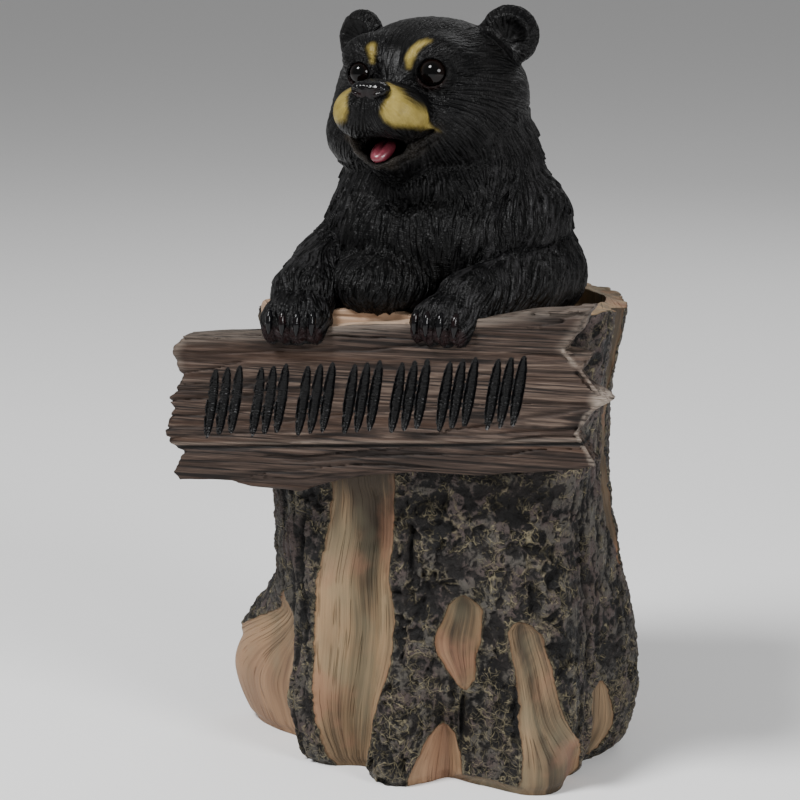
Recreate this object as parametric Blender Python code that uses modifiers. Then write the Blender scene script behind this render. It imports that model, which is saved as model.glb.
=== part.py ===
"""Bear cub standing in a hollow tree stump with its paws over a rustic plank sign.

A resin figurine cast in one piece, so the whole form is one solid.  The script's unit is the metre
with +Z up.  The origin lies on the ground under the stump's axis and the sign faces -Y.
Every length below is written in millimetres and multiplied by MM where it is used.
"""

import math

import bmesh
import bpy
from mathutils import Euler, Matrix, Vector

MM = 0.001

# ---- stump: outline seen from above, in mm; angles in degrees from -Y towards +X ----
STUMP_HEIGHT = 208
HALF_WIDTH = 74
FRONT_DEPTH = 60
BACK_DEPTH = 72
SQUARENESS_GROUND = 2.4
SQUARENESS_TOP = 3.2
RING_SIDES = 76
RING_LEVELS = 22
TUCK = 2.5              # how far the very foot of the bark turns in
TUCK_HEIGHT = 5

# (angle, reach beyond the trunk at the ground, half angle, height where it melts into the trunk)
ROOTS = (
    (-98, 35, 16, 94),
    (-47, 4, 12, 80),
    (-5, 10, 13, 90),
    (47, 23, 16, 150),
    (96, 16, 22, 140),
    (141, 14, 17, 100),
    (183, 16, 20, 95),
    (-136, 15, 18, 100),
)
# (angle, reach beyond the trunk at the rim, half angle, height where it starts)
SHOULDERS = (
    (58, 15, 15, 110),
    (104, 6.5, 38, 165),
    (-54, 7, 13, 150),
    (150, 6, 22, 160),
)
# bare channels between the roots: (angle at ground, angle at top, half angle, depth, height)
CHANNELS = (
    (-27, -19, 11, 9, 150),
    (20, 18, 8, 7, 40),
    (33, 27, 6, 4, 90),
    (-70, -62, 12, 7, 78),
    (118, 112, 8, 6, 90),
    (-160, -164, 9, 7, 120),
    (-112, -112, 9, 6, 90),
)
# where the foot turns in under the roots: (angle, half angle, depth at the ground, height)
TUCKS = (
    (-100, 24, 12, 34),
    (-50, 13, 7, 34),
    (80, 26, 9, 30),
    (110, 20, 4, 28),
)
BARK_RIDGES = 17        # upright bark ridges around the trunk
BARK_RELIEF = 1.3
SMOOTH_BEHIND_PLANK = (112, 130, 62)    # from and to these heights, within this many degrees

# ---- hollow at the top of the stump ----
HOLLOW_CENTRE = (5, 15)
HOLLOW_RADII = (67, 49)
HOLLOW_DEPTH = 9

# ---- plank: outline in its own plane, u along the board and v up, in mm ----
PLANK_CENTRE = (-8.25, 175.7)       # x and z
PLANK_TILT = 4.8                    # degrees, the +X end higher
PLANK_FRONT = 72                    # distance of its face in front of the axis
PLANK_THICKNESS = 14
TOP_EDGE = ((-87, 30.7), (-52, 30.6), (-17, 31.5), (49, 32.8), (72, 34.8), (93.9, 35.6))
RIGHT_END = ((88, 26.3), (80.7, 18), (92, 15.6), (86, 8), (89.2, 3.4), (99, -4.3), (89, -9.8),
             (83, -17.5), (90.2, -29.9), (88.7, -32.6))
LOWER_EDGE = ((38.6, -34), (12.6, -31.4), (-22.7, -34.9), (-41.2, -39.5), (-63, -36.8),
              (-71, -34.3), (-95.6, -33.2))
LEFT_END = ((-97, -30), (-92.4, -20.7), (-98, -17), (-100, -10.7), (-95.2, -1.7), (-96.7, 2.3),
            (-89.6, 12.3), (-91.6, 17.5), (-93.7, 24))
SEAM_V = -20.5                      # the split that parts the board's lower strip
SEAM_RADIUS = 1.4

# ---- rows of slanted claw strokes sunk in the plank's face ----
STROKE_GROUPS = 7
STROKES_PER_GROUP = 3
STROKE_BAND = (-82, 65)             # from and to, along u
STROKE_MIDDLE_V = 1
STROKE_HEIGHT = 30
STROKE_WIDTH = 4.4
STROKE_DEPTH = 1.5
STROKE_STEP = 5.6
STROKE_SLANT = 14                   # degrees

# ---- bear: the head has its own frame, facing -Y ----
HEAD_CENTRE = (-4, -7, 299)
HEAD_TURN = -12
HEAD_NOD = -8
EAR_CENTRES = ((33, 8, 29), (-40, 8, 26.6))
EAR_RADII = (13.4, 5.8, 13.4)
EAR_SPLAY = 14
EAR_HOLLOW = (9.8, 7, 9.8)
EYE_CENTRES = ((18.2, -33.4, 8.5), (-16, -34, 7.4))
EYE_RADIUS = 6.4
NOSE_CENTRE = (0.9, -57.5, -1)
NOSE_RADII = (8.4, 5.8, 4.8)
MOUTH_CENTRE = (1.5, -47, -24.5)
MOUTH_RADII = (12, 15, 5)
TONGUE_CENTRE = (1, -40, -26.6)
TONGUE_RADII = (5.5, 11, 3.2)

# (centre, radii) in the head's frame
SKULL_FORMS = (
    ((0, 4, 1), (43, 43, 35)),
    ((-22, -12, -20), (17.5, 21, 13)),
    ((0, -37, -8), (20, 24, 11.6)),
    ((0, -50, -1), (8.5, 12, 5.5)),
    ((1.8, -30.5, -20), (16.8, 19, 17)),
)
# cheeks, brows and the two halves of the muzzle: each has a twin on the other side
PAIRED_FORMS = (
    ((16.5, -10, -13), (23, 27, 20)),
    ((16, -27, 16), (13, 10, 9)),
    ((8.6, -45.5, -10), (11.9, 14.5, 11)),
)
# (centre, radii) in the figurine's frame; the last two are the shoulder and the belly's overhang
BODY_FORMS = (
    ((-1, 1, 281), (41, 37, 24)),
    ((1, 2, 263), (44, 43, 34)),
    ((0, -4, 238), (50.5, 48, 36)),
    ((1, 6, 208), (53, 52, 42)),
    ((38, 4, 245), (19, 24, 20)),
    ((-15, -36, 219.5), (25, 30, 15)),
)
# (centre, radius) along each arm, from shoulder to wrist
LEFT_ARM = (((36, 8, 243), 17.5), ((45.5, 5, 221), 18.5), ((40, -30, 218.5), 16.5),
            ((26, -56, 215), 14.5))
RIGHT_ARM = (((-33, -8, 235), 18), ((-43, -26, 223), 17.5), ((-47, -54, 216), 15))
# (middle, degrees the toes are turned)
LEFT_PAW = ((19, -65.5, 210), -14)
RIGHT_PAW = ((-46.5, -69, 208.5), 2)
PAW_RADII = (14.8, 13.2, 11)
CLAWS_PER_PAW = 4
CLAW_RADII = (2.2, 2.8, 4.4)
CLAW_STEP = 6.3
CLAW_REACH = 12.2                   # how far the middle claws stand in front of the paw's middle
CLAW_ARC = 0.8                      # how quickly the outer claws fall back

VOXEL = 2.4
SMOOTHING_STEPS = 6
KEPT_FACES = 0.13

FUR_BLACK = (0.018, 0.017, 0.018, 1)
BARK_BROWN = (0.085, 0.068, 0.055, 1)
PLANK_BROWN = (0.15, 0.105, 0.085, 1)
GLOSS_BLACK = (0.008, 0.008, 0.009, 1)


def remove_everything():
    for item in list(bpy.data.objects):
        bpy.data.objects.remove(item)


def new_collection(name):
    collection = bpy.data.collections.new(name)
    bpy.context.scene.collection.children.link(collection)
    return collection


def painted(name, colour, roughness):
    material = bpy.data.materials.new(name)
    material.use_nodes = True
    shader = material.node_tree.nodes["Principled BSDF"]
    shader.inputs["Base Color"].default_value = colour
    shader.inputs["Roughness"].default_value = roughness
    shader.inputs["Metallic"].default_value = 0
    return material


def object_from(name, bm, collection, material):
    """Turns a bmesh into a named, smooth-shaded object of one material."""
    mesh = bpy.data.meshes.new(name)
    bm.to_mesh(mesh)
    bm.free()
    mesh.materials.append(material)
    mesh.shade_smooth()
    mesh.set_sharp_from_angle(angle=math.radians(50))
    item = bpy.data.objects.new(name, mesh)
    collection.objects.link(item)
    return item


def as_cutter(item):
    item.hide_render = True
    item.display_type = "WIRE"
    return item


def boolean(item, operand, operation):
    modifier = item.modifiers.new(f"{operation}_{operand.name}".lower(), "BOOLEAN")
    modifier.object = operand
    modifier.operation = operation
    modifier.solver = "EXACT"
    modifier.material_mode = "TRANSFER"
    return modifier


def add_ellipsoid(bm, centre, radii, frame=None, detail=4):
    """Adds an icosphere stretched to three radii, placed in a frame."""
    frame = frame or Matrix.Identity(4)
    stretch = Matrix.Diagonal((*(Vector(radii) * MM), 1))
    place = Matrix.Translation(Vector(centre) * MM)
    bmesh.ops.create_icosphere(bm, subdivisions=detail, radius=1, matrix=frame @ place @ stretch)


# ------------------------------------------------------------------ stump

def turn_between(angle, middle):
    """Signed difference of two angles in degrees, between -180 and 180."""
    return (angle - middle + 180) % 360 - 180


def bell(offset, spread):
    return math.exp(-(offset / spread) ** 2)


def ease(amount):
    """Smooth step from 0 to 1."""
    amount = min(max(amount, 0), 1)
    return amount * amount * (3 - 2 * amount)


def trunk_radius(angle, height):
    """Superellipse through the trunk, squarer towards the rim."""
    squareness = SQUARENESS_GROUND
    squareness += (SQUARENESS_TOP - SQUARENESS_GROUND) * ease(height / STUMP_HEIGHT)
    turn = math.radians(angle)
    depth = FRONT_DEPTH if math.cos(turn) > 0 else BACK_DEPTH
    across = (abs(math.sin(turn)) / HALF_WIDTH) ** squareness
    along = (abs(math.cos(turn)) / depth) ** squareness
    return (across + along) ** (-1 / squareness)


def stump_radius(angle, height):
    """Distance in mm from the stump's axis to its bark."""
    radius = trunk_radius(angle, height)
    for middle, reach, spread, top in ROOTS:
        fade = 1 - ease((height - 0.25 * top) / (0.75 * top))
        radius += reach * fade * bell(turn_between(angle, middle), spread)
    for middle, reach, spread, start in SHOULDERS:
        rise = ease((height - start) / (STUMP_HEIGHT - start))
        radius += reach * rise * bell(turn_between(angle, middle), spread)
    for low, high, spread, depth, top in CHANNELS:
        middle = low + (high - low) * min(height / top, 1)
        fade = 1 - ease((height - 0.7 * top) / (0.3 * top))
        radius -= depth * fade * bell(turn_between(angle, middle), spread)
    for middle, spread, depth, top in TUCKS:
        radius -= depth * max(1 - height / top, 0) ** 2 * bell(turn_between(angle, middle), spread)
    return radius + bark_ridge(angle, height) - foot_tuck(height)


def bark_ridge(angle, height):
    """Swaying upright ridges, planed away where the plank is nailed on."""
    start, end, reach = SMOOTH_BEHIND_PLANK
    planed = ease((height - start) / (end - start)) * bell(turn_between(angle, 0) / reach, 1) ** 0.5
    sway = 1.4 * math.sin(height / 31)
    return BARK_RELIEF * (1 - planed) * math.sin(math.radians(angle) * BARK_RIDGES + sway)


def foot_tuck(height):
    """How far the foot of the bark turns in, just above the ground."""
    return TUCK * max(1 - height / TUCK_HEIGHT, 0)


def build_stump(collection, bark):
    """Lofts the trunk through rings whose sections differ at every level."""
    bm = bmesh.new()
    rings = []
    levels = [0, TUCK_HEIGHT]
    levels += [TUCK_HEIGHT + (STUMP_HEIGHT - TUCK_HEIGHT) * (step + 1) / RING_LEVELS
               for step in range(RING_LEVELS)]
    for height in levels:
        ring = []
        for side in range(RING_SIDES):
            angle = 360 * side / RING_SIDES
            reach = stump_radius(angle, height) * MM
            turn = math.radians(angle)
            ring.append(bm.verts.new((reach * math.sin(turn), -reach * math.cos(turn), height * MM)))
        rings.append(ring)
    for lower, upper in zip(rings, rings[1:]):
        for side in range(RING_SIDES):
            after = (side + 1) % RING_SIDES
            bm.faces.new((lower[side], lower[after], upper[after], upper[side]))
    bm.faces.new(reversed(rings[0]))
    bm.faces.new(rings[-1])
    bmesh.ops.recalc_face_normals(bm, faces=bm.faces)
    return object_from("bear_sign_figurine", bm, collection, bark)


def build_hollow(collection, bark):
    """The shallow well that the cub stands in, leaving a rim of wood around it."""
    bm = bmesh.new()
    bmesh.ops.create_cone(bm, cap_ends=True, segments=40, radius1=1, radius2=1, depth=2)
    stretch = Matrix.Diagonal((HOLLOW_RADII[0] * MM, HOLLOW_RADII[1] * MM, HOLLOW_DEPTH * MM, 1))
    place = Matrix.Translation(Vector((*HOLLOW_CENTRE, STUMP_HEIGHT)) * MM)
    bm.transform(place @ stretch)
    return as_cutter(object_from("hollow_cutter", bm, collection, bark))


# ------------------------------------------------------------------ plank

def plank_frame():
    """Carries plank coordinates (u, v, towards the viewer) into the figurine's frame."""
    centre = Vector((PLANK_CENTRE[0], -PLANK_FRONT, PLANK_CENTRE[1])) * MM
    tilt = Matrix.Rotation(math.radians(-PLANK_TILT), 4, "Y")
    stand = Matrix.Rotation(math.radians(90), 4, "X")
    return Matrix.Translation(centre) @ tilt @ stand


def build_plank(collection, wood):
    """A flat outline given its thickness, its face on the plank frame's own plane."""
    outline = TOP_EDGE + RIGHT_END + LOWER_EDGE + LEFT_END
    curve = bpy.data.curves.new("plank_outline", "CURVE")
    curve.dimensions = "2D"
    curve.fill_mode = "BOTH"
    curve.extrude = PLANK_THICKNESS * MM / 2
    spline = curve.splines.new("POLY")
    spline.points.add(len(outline) - 1)
    for point, (u, v) in zip(spline.points, outline):
        point.co = (u * MM, v * MM, 0, 1)
    spline.use_cyclic_u = True
    flat = bpy.data.objects.new("plank_outline", curve)
    flat.matrix_world = plank_frame() @ Matrix.Translation((0, 0, -PLANK_THICKNESS * MM / 2))
    collection.objects.link(flat)
    plank = welded_mesh(flat, "plank", collection, wood)
    return as_cutter(plank)


def welded_mesh(curve_object, name, collection, material):
    """Replaces a curve object with one closed mesh object in the same place."""
    bpy.context.view_layer.update()
    seen = curve_object.evaluated_get(bpy.context.evaluated_depsgraph_get())
    mesh = bpy.data.meshes.new_from_object(seen)
    bm = bmesh.new()
    bm.from_mesh(mesh)
    bmesh.ops.remove_doubles(bm, verts=bm.verts, dist=0.00001)
    bmesh.ops.recalc_face_normals(bm, faces=bm.faces)
    bm.transform(curve_object.matrix_world)
    bpy.data.meshes.remove(mesh)
    bpy.data.objects.remove(curve_object)
    return object_from(name, bm, collection, material)


def build_plank_cuts(collection, gloss):
    """The split along the board and the groups of slanted claw strokes."""
    bm = bmesh.new()
    frame = plank_frame()
    lay = Matrix.Rotation(math.radians(90), 4, "Y")
    seam = frame @ Matrix.Translation(Vector((0, SEAM_V, 0)) * MM) @ lay
    bmesh.ops.create_cone(bm, cap_ends=True, segments=6, radius1=SEAM_RADIUS * MM,
                          radius2=SEAM_RADIUS * MM, depth=230 * MM, matrix=seam)
    start, end = STROKE_BAND
    pitch = (end - start) / STROKE_GROUPS
    slant = Matrix.Rotation(math.radians(-STROKE_SLANT), 4, "Z")
    stretch = Matrix.Diagonal((STROKE_WIDTH / 2 * MM, STROKE_HEIGHT / 2 * MM, STROKE_DEPTH * MM, 1))
    for group in range(STROKE_GROUPS):
        for stroke in range(STROKES_PER_GROUP):
            u = start + pitch * (group + 0.5) + STROKE_STEP * (stroke - 1)
            place = Matrix.Translation(Vector((u, STROKE_MIDDLE_V + 0.6 * (stroke - 1), 0)) * MM)
            bmesh.ops.create_uvsphere(bm, u_segments=4, v_segments=4, radius=1,
                                      matrix=frame @ place @ slant @ stretch)
    return as_cutter(object_from("plank_cuts", bm, collection, gloss))


# ------------------------------------------------------------------ bear

def head_frame():
    turn = Euler((math.radians(HEAD_NOD), 0, math.radians(HEAD_TURN)), "XYZ")
    return Matrix.Translation(Vector(HEAD_CENTRE) * MM) @ turn.to_matrix().to_4x4()


def twins(centre):
    """A place off the middle, and its twin across it."""
    return (centre, (-centre[0], centre[1], centre[2]))


def paw_frame(paw):
    """The paw's own frame: its middle, with -Y the way the toes point."""
    middle, turn = paw
    return Matrix.Translation(Vector(middle) * MM) @ Matrix.Rotation(math.radians(turn), 4, "Z")


def limb_mesh(stations, collection):
    """A round-ended tube whose radius changes from the shoulder to the paw."""
    curve = bpy.data.curves.new("limb", "CURVE")
    curve.dimensions = "3D"
    curve.bevel_depth = MM
    curve.bevel_resolution = 4
    curve.use_fill_caps = True
    spline = curve.splines.new("POLY")
    spline.points.add(len(stations) - 1)
    for point, (centre, radius) in zip(spline.points, stations):
        point.co = (*(Vector(centre) * MM), 1)
        point.radius = radius
    limb = bpy.data.objects.new("limb", curve)
    collection.objects.link(limb)
    bpy.context.view_layer.update()
    seen = limb.evaluated_get(bpy.context.evaluated_depsgraph_get())
    mesh = bpy.data.meshes.new_from_object(seen)
    bpy.data.objects.remove(limb)
    return mesh


def add_limb(bm, stations, collection):
    mesh = limb_mesh(stations, collection)
    bm.from_mesh(mesh)
    bpy.data.meshes.remove(mesh)
    bmesh.ops.remove_doubles(bm, verts=bm.verts, dist=0.00001)
    for centre, radius in stations:
        add_ellipsoid(bm, centre, (radius, radius, radius))


def build_bear(collection, fur):
    """Rounded masses melted into one skin, then thinned out to larger facets."""
    bm = bmesh.new()
    head = head_frame()
    for centre, radii in SKULL_FORMS:
        add_ellipsoid(bm, centre, radii, head)
    for centre, radii in PAIRED_FORMS:
        for place in twins(centre):
            add_ellipsoid(bm, place, radii, head)
    for centre in EAR_CENTRES:
        add_ellipsoid(bm, (0, 0, 0), EAR_RADII, ear_frame(centre))
    for centre, radii in BODY_FORMS:
        add_ellipsoid(bm, centre, radii)
    for stations in (LEFT_ARM, RIGHT_ARM):
        add_limb(bm, stations, collection)
    for paw in (LEFT_PAW, RIGHT_PAW):
        add_ellipsoid(bm, (0, 0, 0), PAW_RADII, paw_frame(paw))
    bear = as_cutter(object_from("bear", bm, collection, fur))
    remesh = bear.modifiers.new("melt_together", "REMESH")
    remesh.mode = "VOXEL"
    remesh.voxel_size = VOXEL * MM
    smooth = bear.modifiers.new("soften", "SMOOTH")
    smooth.factor = 0.5
    smooth.iterations = SMOOTHING_STEPS
    decimate = bear.modifiers.new("larger_facets", "DECIMATE")
    decimate.ratio = KEPT_FACES
    return bear


def ear_frame(centre):
    """An ear's own frame, its dished front splayed a little outwards."""
    splay = Matrix.Rotation(math.radians(math.copysign(EAR_SPLAY, centre[0])), 4, "Z")
    return head_frame() @ Matrix.Translation(Vector(centre) * MM) @ splay


def build_face_hollows(collection, gloss):
    """The open mouth and the dished fronts of the ears."""
    bm = bmesh.new()
    add_ellipsoid(bm, MOUTH_CENTRE, MOUTH_RADII, head_frame(), detail=2)
    for centre in EAR_CENTRES:
        add_ellipsoid(bm, (0, -EAR_HOLLOW[1], 0), EAR_HOLLOW, ear_frame(centre), detail=2)
    return as_cutter(object_from("face_hollows", bm, collection, gloss))


def build_gloss_features(collection, gloss):
    """Eyes, nose, tongue and claws, as crisp rounded forms."""
    bm = bmesh.new()
    head = head_frame()
    for place in EYE_CENTRES:
        add_ellipsoid(bm, place, (EYE_RADIUS,) * 3, head, detail=2)
    add_ellipsoid(bm, NOSE_CENTRE, NOSE_RADII, head, detail=2)
    add_ellipsoid(bm, TONGUE_CENTRE, TONGUE_RADII, head, detail=2)
    for paw in (LEFT_PAW, RIGHT_PAW):
        for claw in range(CLAWS_PER_PAW):
            off = claw - (CLAWS_PER_PAW - 1) / 2
            place = (off * CLAW_STEP, CLAW_ARC * off * off - CLAW_REACH, 0.5)
            add_ellipsoid(bm, place, CLAW_RADII, paw_frame(paw), detail=1)
    return as_cutter(object_from("gloss_features", bm, collection, gloss))


def build():
    remove_everything()
    parts = new_collection("bear_sign_figurine")
    cutters = new_collection("cutters")
    fur = painted("black_fur", FUR_BLACK, 0.62)
    bark = painted("bark", BARK_BROWN, 0.8)
    wood = painted("plank_wood", PLANK_BROWN, 0.7)
    gloss = painted("gloss_black", GLOSS_BLACK, 0.15)

    bear = build_bear(cutters, fur)
    boolean(bear, build_face_hollows(cutters, gloss), "DIFFERENCE")
    boolean(bear, build_gloss_features(cutters, gloss), "UNION")

    figurine = build_stump(parts, bark)
    boolean(figurine, build_hollow(cutters, bark), "DIFFERENCE")
    boolean(figurine, bear, "UNION")
    boolean(figurine, build_plank(cutters, wood), "UNION")
    boolean(figurine, build_plank_cuts(cutters, gloss), "DIFFERENCE")


build()
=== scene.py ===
import math

import bpy
import numpy as np
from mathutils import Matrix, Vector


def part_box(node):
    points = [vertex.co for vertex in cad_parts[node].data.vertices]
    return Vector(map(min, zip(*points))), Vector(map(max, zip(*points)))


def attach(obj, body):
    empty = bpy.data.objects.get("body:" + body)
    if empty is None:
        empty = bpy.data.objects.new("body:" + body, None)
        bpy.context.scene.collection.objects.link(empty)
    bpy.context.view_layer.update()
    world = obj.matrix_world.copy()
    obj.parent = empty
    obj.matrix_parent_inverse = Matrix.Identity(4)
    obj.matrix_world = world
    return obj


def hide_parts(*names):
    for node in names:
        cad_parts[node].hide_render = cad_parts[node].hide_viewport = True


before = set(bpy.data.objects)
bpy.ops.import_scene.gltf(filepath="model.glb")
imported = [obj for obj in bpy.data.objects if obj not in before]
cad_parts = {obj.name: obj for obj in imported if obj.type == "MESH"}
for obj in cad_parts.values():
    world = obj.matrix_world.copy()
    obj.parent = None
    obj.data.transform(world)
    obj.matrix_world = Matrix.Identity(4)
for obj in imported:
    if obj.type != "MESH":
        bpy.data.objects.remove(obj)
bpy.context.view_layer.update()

import openvdb as vdb
from mathutils import Vector

NODE = "bear_sign_figurine"
LOW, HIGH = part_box(NODE)
DESIGN_HEIGHT = 339.0
MM = (HIGH[2] - LOW[2]) / DESIGN_HEIGHT     # metres in one millimetre of the tables below

# ---- mesh spacing, mm ----
FUR_STEP = 0.72
PLANK_STEP = 0.72
DETAIL_STEP = 0.45
FLOW_STEP = 2.5
STUMP_ROWS = 262
RIM_ROWS = 34
BLOCK = 4               # grid points along one side of a block that is filled in or left out

# ---- noise: both turns keep the lattice of the noise off the object's axes ----
NOISE_CELLS = 64
SEED_CELLS = 32
NOISE_TURN = (31, 17, 43)       # degrees, for shapes
SKEW = (0.5, 0.3, 0.8)          # radians, for materials

# ---- bear: the head has its own frame, facing -Y ----
HEAD_CENTRE = (-4, -7, 299)
HEAD_TURN = -12
HEAD_NOD = -8
# (centre, radius, degrees it is splayed outwards)
EARS = (((33, 8, 29), 13.4, 14), ((-40, 8, 26.6), 12.4, -14))
EYES = (((18, -32.2, 8.9), 7.3), ((-16, -33, 7.6), 6.0))
NOSE = (0.9, -58.6, -1)
MUZZLE_MIDDLE = -0.2
# the rounded lower lip, from one corner of the mouth round the chin to the other
LIP = ((-18, -37, -18.5), (-12, -43, -25.6), (-5, -46.8, -29.4), (1.5, -48, -32.2),
       (7.5, -46.2, -29.7), (15, -42, -23.8), (21, -35.5, -16.6))
# half of the tan patch beside the nose, as (distance from the middle, height)
PATCH = ((6.5, 3.4), (10.5, 1.4), (14.4, -1.6), (18.6, -5.0), (22.4, -9.0), (25.6, -15.2),
         (18.4, -15.4), (12.8, -15.6), (9.4, -13.8), (7.8, -10.4), (8.9, -6.0), (9.8, -2.6),
         (7.4, 0.6))
# the brow over each eye, as (across, height, half width)
BROWS = (
    ((7.8, 11.2, 1.0), (7.6, 14.8, 2.0), (8.9, 18.1, 2.3), (11.0, 20.3, 1.9), (13.6, 21.6, 1.2),
     (15.6, 22.1, 0.4)),
    ((-10.2, 12.9, 0.8), (-10.8, 16.2, 1.6), (-11.5, 18.8, 1.9)),
)
# (centre, radius) along each arm, from shoulder to wrist
LEFT_ARM = (((36, 8, 243), 17.5), ((45.5, 5, 221), 18.5), ((40, -30, 218.5), 16.5),
            ((26, -56, 215), 14.5))
RIGHT_ARM = (((-33, -8, 235), 18), ((-43, -26, 223), 17.5), ((-47, -54, 216), 15))
# (middle, degrees the toes are turned), one paw per arm
LEFT_PAW = ((19, -65.5, 210), -14)
RIGHT_PAW = ((-46.5, -69, 208.5), 2)
ARMS = ((LEFT_ARM, LEFT_PAW), (RIGHT_ARM, RIGHT_PAW))
PAW_TOES = 4
TOE_STEP = 6.3
# the trunk of the body as ellipsoids: (centre, radii), then those joined on with a fillet
BELLY = ((1, 6, 208), (53, 52, 42))
BODY = (
    ((0, -4, 238), (50.5, 48, 36), 10),
    ((1, 2, 263), (44, 43, 34), 10),
    ((-1, 1, 281), (41, 37, 24), 8),
    ((38, 4, 245), (19, 24, 20), 6),
    ((-15, -36, 221.3), (25, 30, 15), 5),
)
# folds in the coat: (start, end, depth)
FOLDS = (
    ((-6, -46, 256), (22, -46, 263), 4.2),
    ((22, -46, 263), (40, -30, 272), 4.2),
    ((40, -30, 272), (48, -4, 280), 2.8),
    ((-6, -46, 256), (-30, -42, 262), 3.6),
)
# coat of the head, arms and body, as (length, half width, rise) of a tuft, for each random seed
COAT = (
    (51, ((19, 3.2, 0.25), (16, 3.0, 1.2), (17, 3.2, 2.2))),
    (53, ((12, 1.3, 0.3), (13, 1.4, 0.45), (15, 1.5, 0.6))),
)
BEAR_LOW = (-80, -95, 190)      # the box that holds all of the cub
BEAR_HIGH = (80, 65, 345)
NECK_HEIGHT = 262       # the mesh of the head ends and that of the body starts
BEAR_FOOT = 196         # the cub is cut off here, under the floor of the hollow

# ---- stump: angles in degrees from -Y towards +X ----
STUMP_HEIGHT = 208
HALF_WIDTH = 74
FRONT_DEPTH = 60
BACK_DEPTH = 72
SQUARENESS = (2.4, 3.2)
# (angle, reach beyond the trunk at the ground, half angle, height where it melts into the trunk)
ROOTS = (
    (-98, 35, 16, 94),
    (-47, 4, 12, 80),
    (-5, 10, 13, 90),
    (47, 23, 16, 150),
    (96, 16, 22, 140),
    (141, 14, 17, 100),
    (183, 16, 20, 95),
    (-136, 15, 18, 100),
)
# (angle, reach beyond the trunk at the rim, half angle, height where it starts)
SHOULDERS = (
    (58, 15, 15, 110),
    (104, 6.5, 38, 165),
    (-54, 7, 13, 150),
    (150, 6, 22, 160),
)
# (angle at ground, angle at top, half angle, depth, height)
CHANNELS = (
    (-27, -19, 11, 9, 150),
    (20, 18, 8, 7, 40),
    (33, 27, 6, 4, 90),
    (-70, -62, 12, 7, 78),
    (118, 112, 8, 6, 90),
    (-160, -164, 9, 7, 120),
    (-112, -112, 9, 6, 90),
)
# bare wood showing through the bark, as (angle, height, half angle) from top to bottom
WINDOWS = (
    ((-18, 150, 12), (-18, 134, 13), (-20, 115, 14), (-23, 90, 15), (-22, 65, 18),
     (-24, 46, 17), (-27, 26, 14), (-28, 12, 11), (-28, -4, 7)),
    ((-56, 79, 1), (-59, 70, 7), (-68, 57, 16), (-72, 48, 20), (-76, 40, 24), (-79, 25, 27),
     (-79, -4, 27)),
    ((23.2, 88, 5.2), (22.8, 79, 6.7), (20.4, 68, 8.7), (20, 64, 8.7), (21.2, 57, 6.6),
     (22.7, 52, 4.6), (23.8, 45, 3.0)),
    ((15.5, 27, 4.5), (15, 20, 6.5), (13, 8, 10.5), (12.5, -4, 11)),
    ((39.3, 79, 3.8), (40, 70, 4.4), (41.3, 60, 4.4), (42.3, 46, 4.5), (43.8, 34, 5.6),
     (47, 24, 8.5), (51, 14, 12.5), (51.5, 4, 13), (51, -4, 12)),
    ((74, 42, 3), (75, 30, 5), (76, 18, 5.5), (75, 6, 4)),
    ((31, 5, 14), (31, -4, 18)),
    ((93, 216, 6), (95, 190, 7.5), (94, 165, 6), (91, 140, 8.5), (93, 118, 7), (95, 100, 4.5),
     (94, 88, 3)),
    ((134, 118, 3), (129, 98, 8), (126, 80, 9), (122, 62, 13), (124, 42, 12), (125, 22, 14),
     (126, 9, 10)),
    ((-171, 96, 3), (-168, 78, 8), (-165, 60, 9), (-162, 40, 14), (-164, 22, 12), (-162, -4, 15)),
    ((-117, 150, 3), (-114, 130, 8), (-113, 108, 9), (-115, 84, 6), (-118, 62, 5), (-117, 50, 3)),
)
# upright cracks, as (angle, from height, to height)
CRACKS = ((43.5, 78, 99), (23.5, 14, 44), (38, 22, 56), (-44, 60, 120), (66, 50, 118), (2, 92, 120))
# (angle, half angle, how far the foot is tucked in at the ground, height)
TUCKS = ((-100, 24, 12, 34), (-50, 13, 7, 34), (80, 26, 9, 30), (110, 20, 4, 28))
# (angle, half angle, how far the outer edge of the rim rises there)
CRESTS = ((-17, 24, 4.5), (60, 15, 5.5), (112, 24, -3))
SPLINTER = -54          # where the rim is split and a shard of it stands up
# bare strip of wood under the front of the rim
STRIP_START = -57
STRIP_END = 14
STRIP_LOW = 198.5
HOLLOW_CENTRE = (5, 15)
HOLLOW_RADII = (67, 49)
HOLLOW_DEPTH = 9
# (name, from angle, to angle, columns)
SECTORS = (
    ("stump_left", -122, 0, 270),
    ("stump_right", 0, 122, 270),
    ("stump_back", 122, 238, 130),
)

# ---- plank: u along the board, v up, w towards the viewer ----
PLANK_CENTRE = (-8.25, -72, 175.7)
PLANK_TILT = 4.8
PLANK_THICKNESS = 14
PLANK_LOW = (-114, -80, 128)        # the box that holds all of the plank
PLANK_HIGH = (97, -52, 224)
PLANK_OUTLINE = (
    (-87, 30.7), (-52, 30.6), (-17, 31.5), (49, 32.8), (72, 34.8), (93.9, 35.6),
    (88, 26.3), (80.7, 18), (92, 15.6), (86, 8), (89.2, 3.4), (99, -4.3), (89, -9.8),
    (83, -17.5), (90.2, -29.9), (88.7, -32.6),
    (38.6, -34), (12.6, -31.4), (-22.7, -34.9), (-41.2, -39.5), (-63, -36.8), (-71, -34.3),
    (-95.6, -33.2),
    (-97, -30), (-92.4, -20.7), (-98, -17), (-100, -10.7), (-95.2, -1.7), (-96.7, 2.3),
    (-89.6, 12.3), (-91.6, 17.5), (-93.7, 24),
)
SEAM = ((-104, -18.6), (86, -22))
TORN = ((80.5, 17.5), (88, 8), (96, -3.6), (89.5, -9), (83.5, -17.5), (90, -31))
STROKE_GROUPS = 7
STROKES_PER_GROUP = 3
STROKE_BAND = (-82, 65)
STROKE_MIDDLE_V = 1
STROKE_RADII = (2.3, 15.5, 2.2)     # half width, half length and depth of a stroke
STROKE_STEP = 5.6
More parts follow.
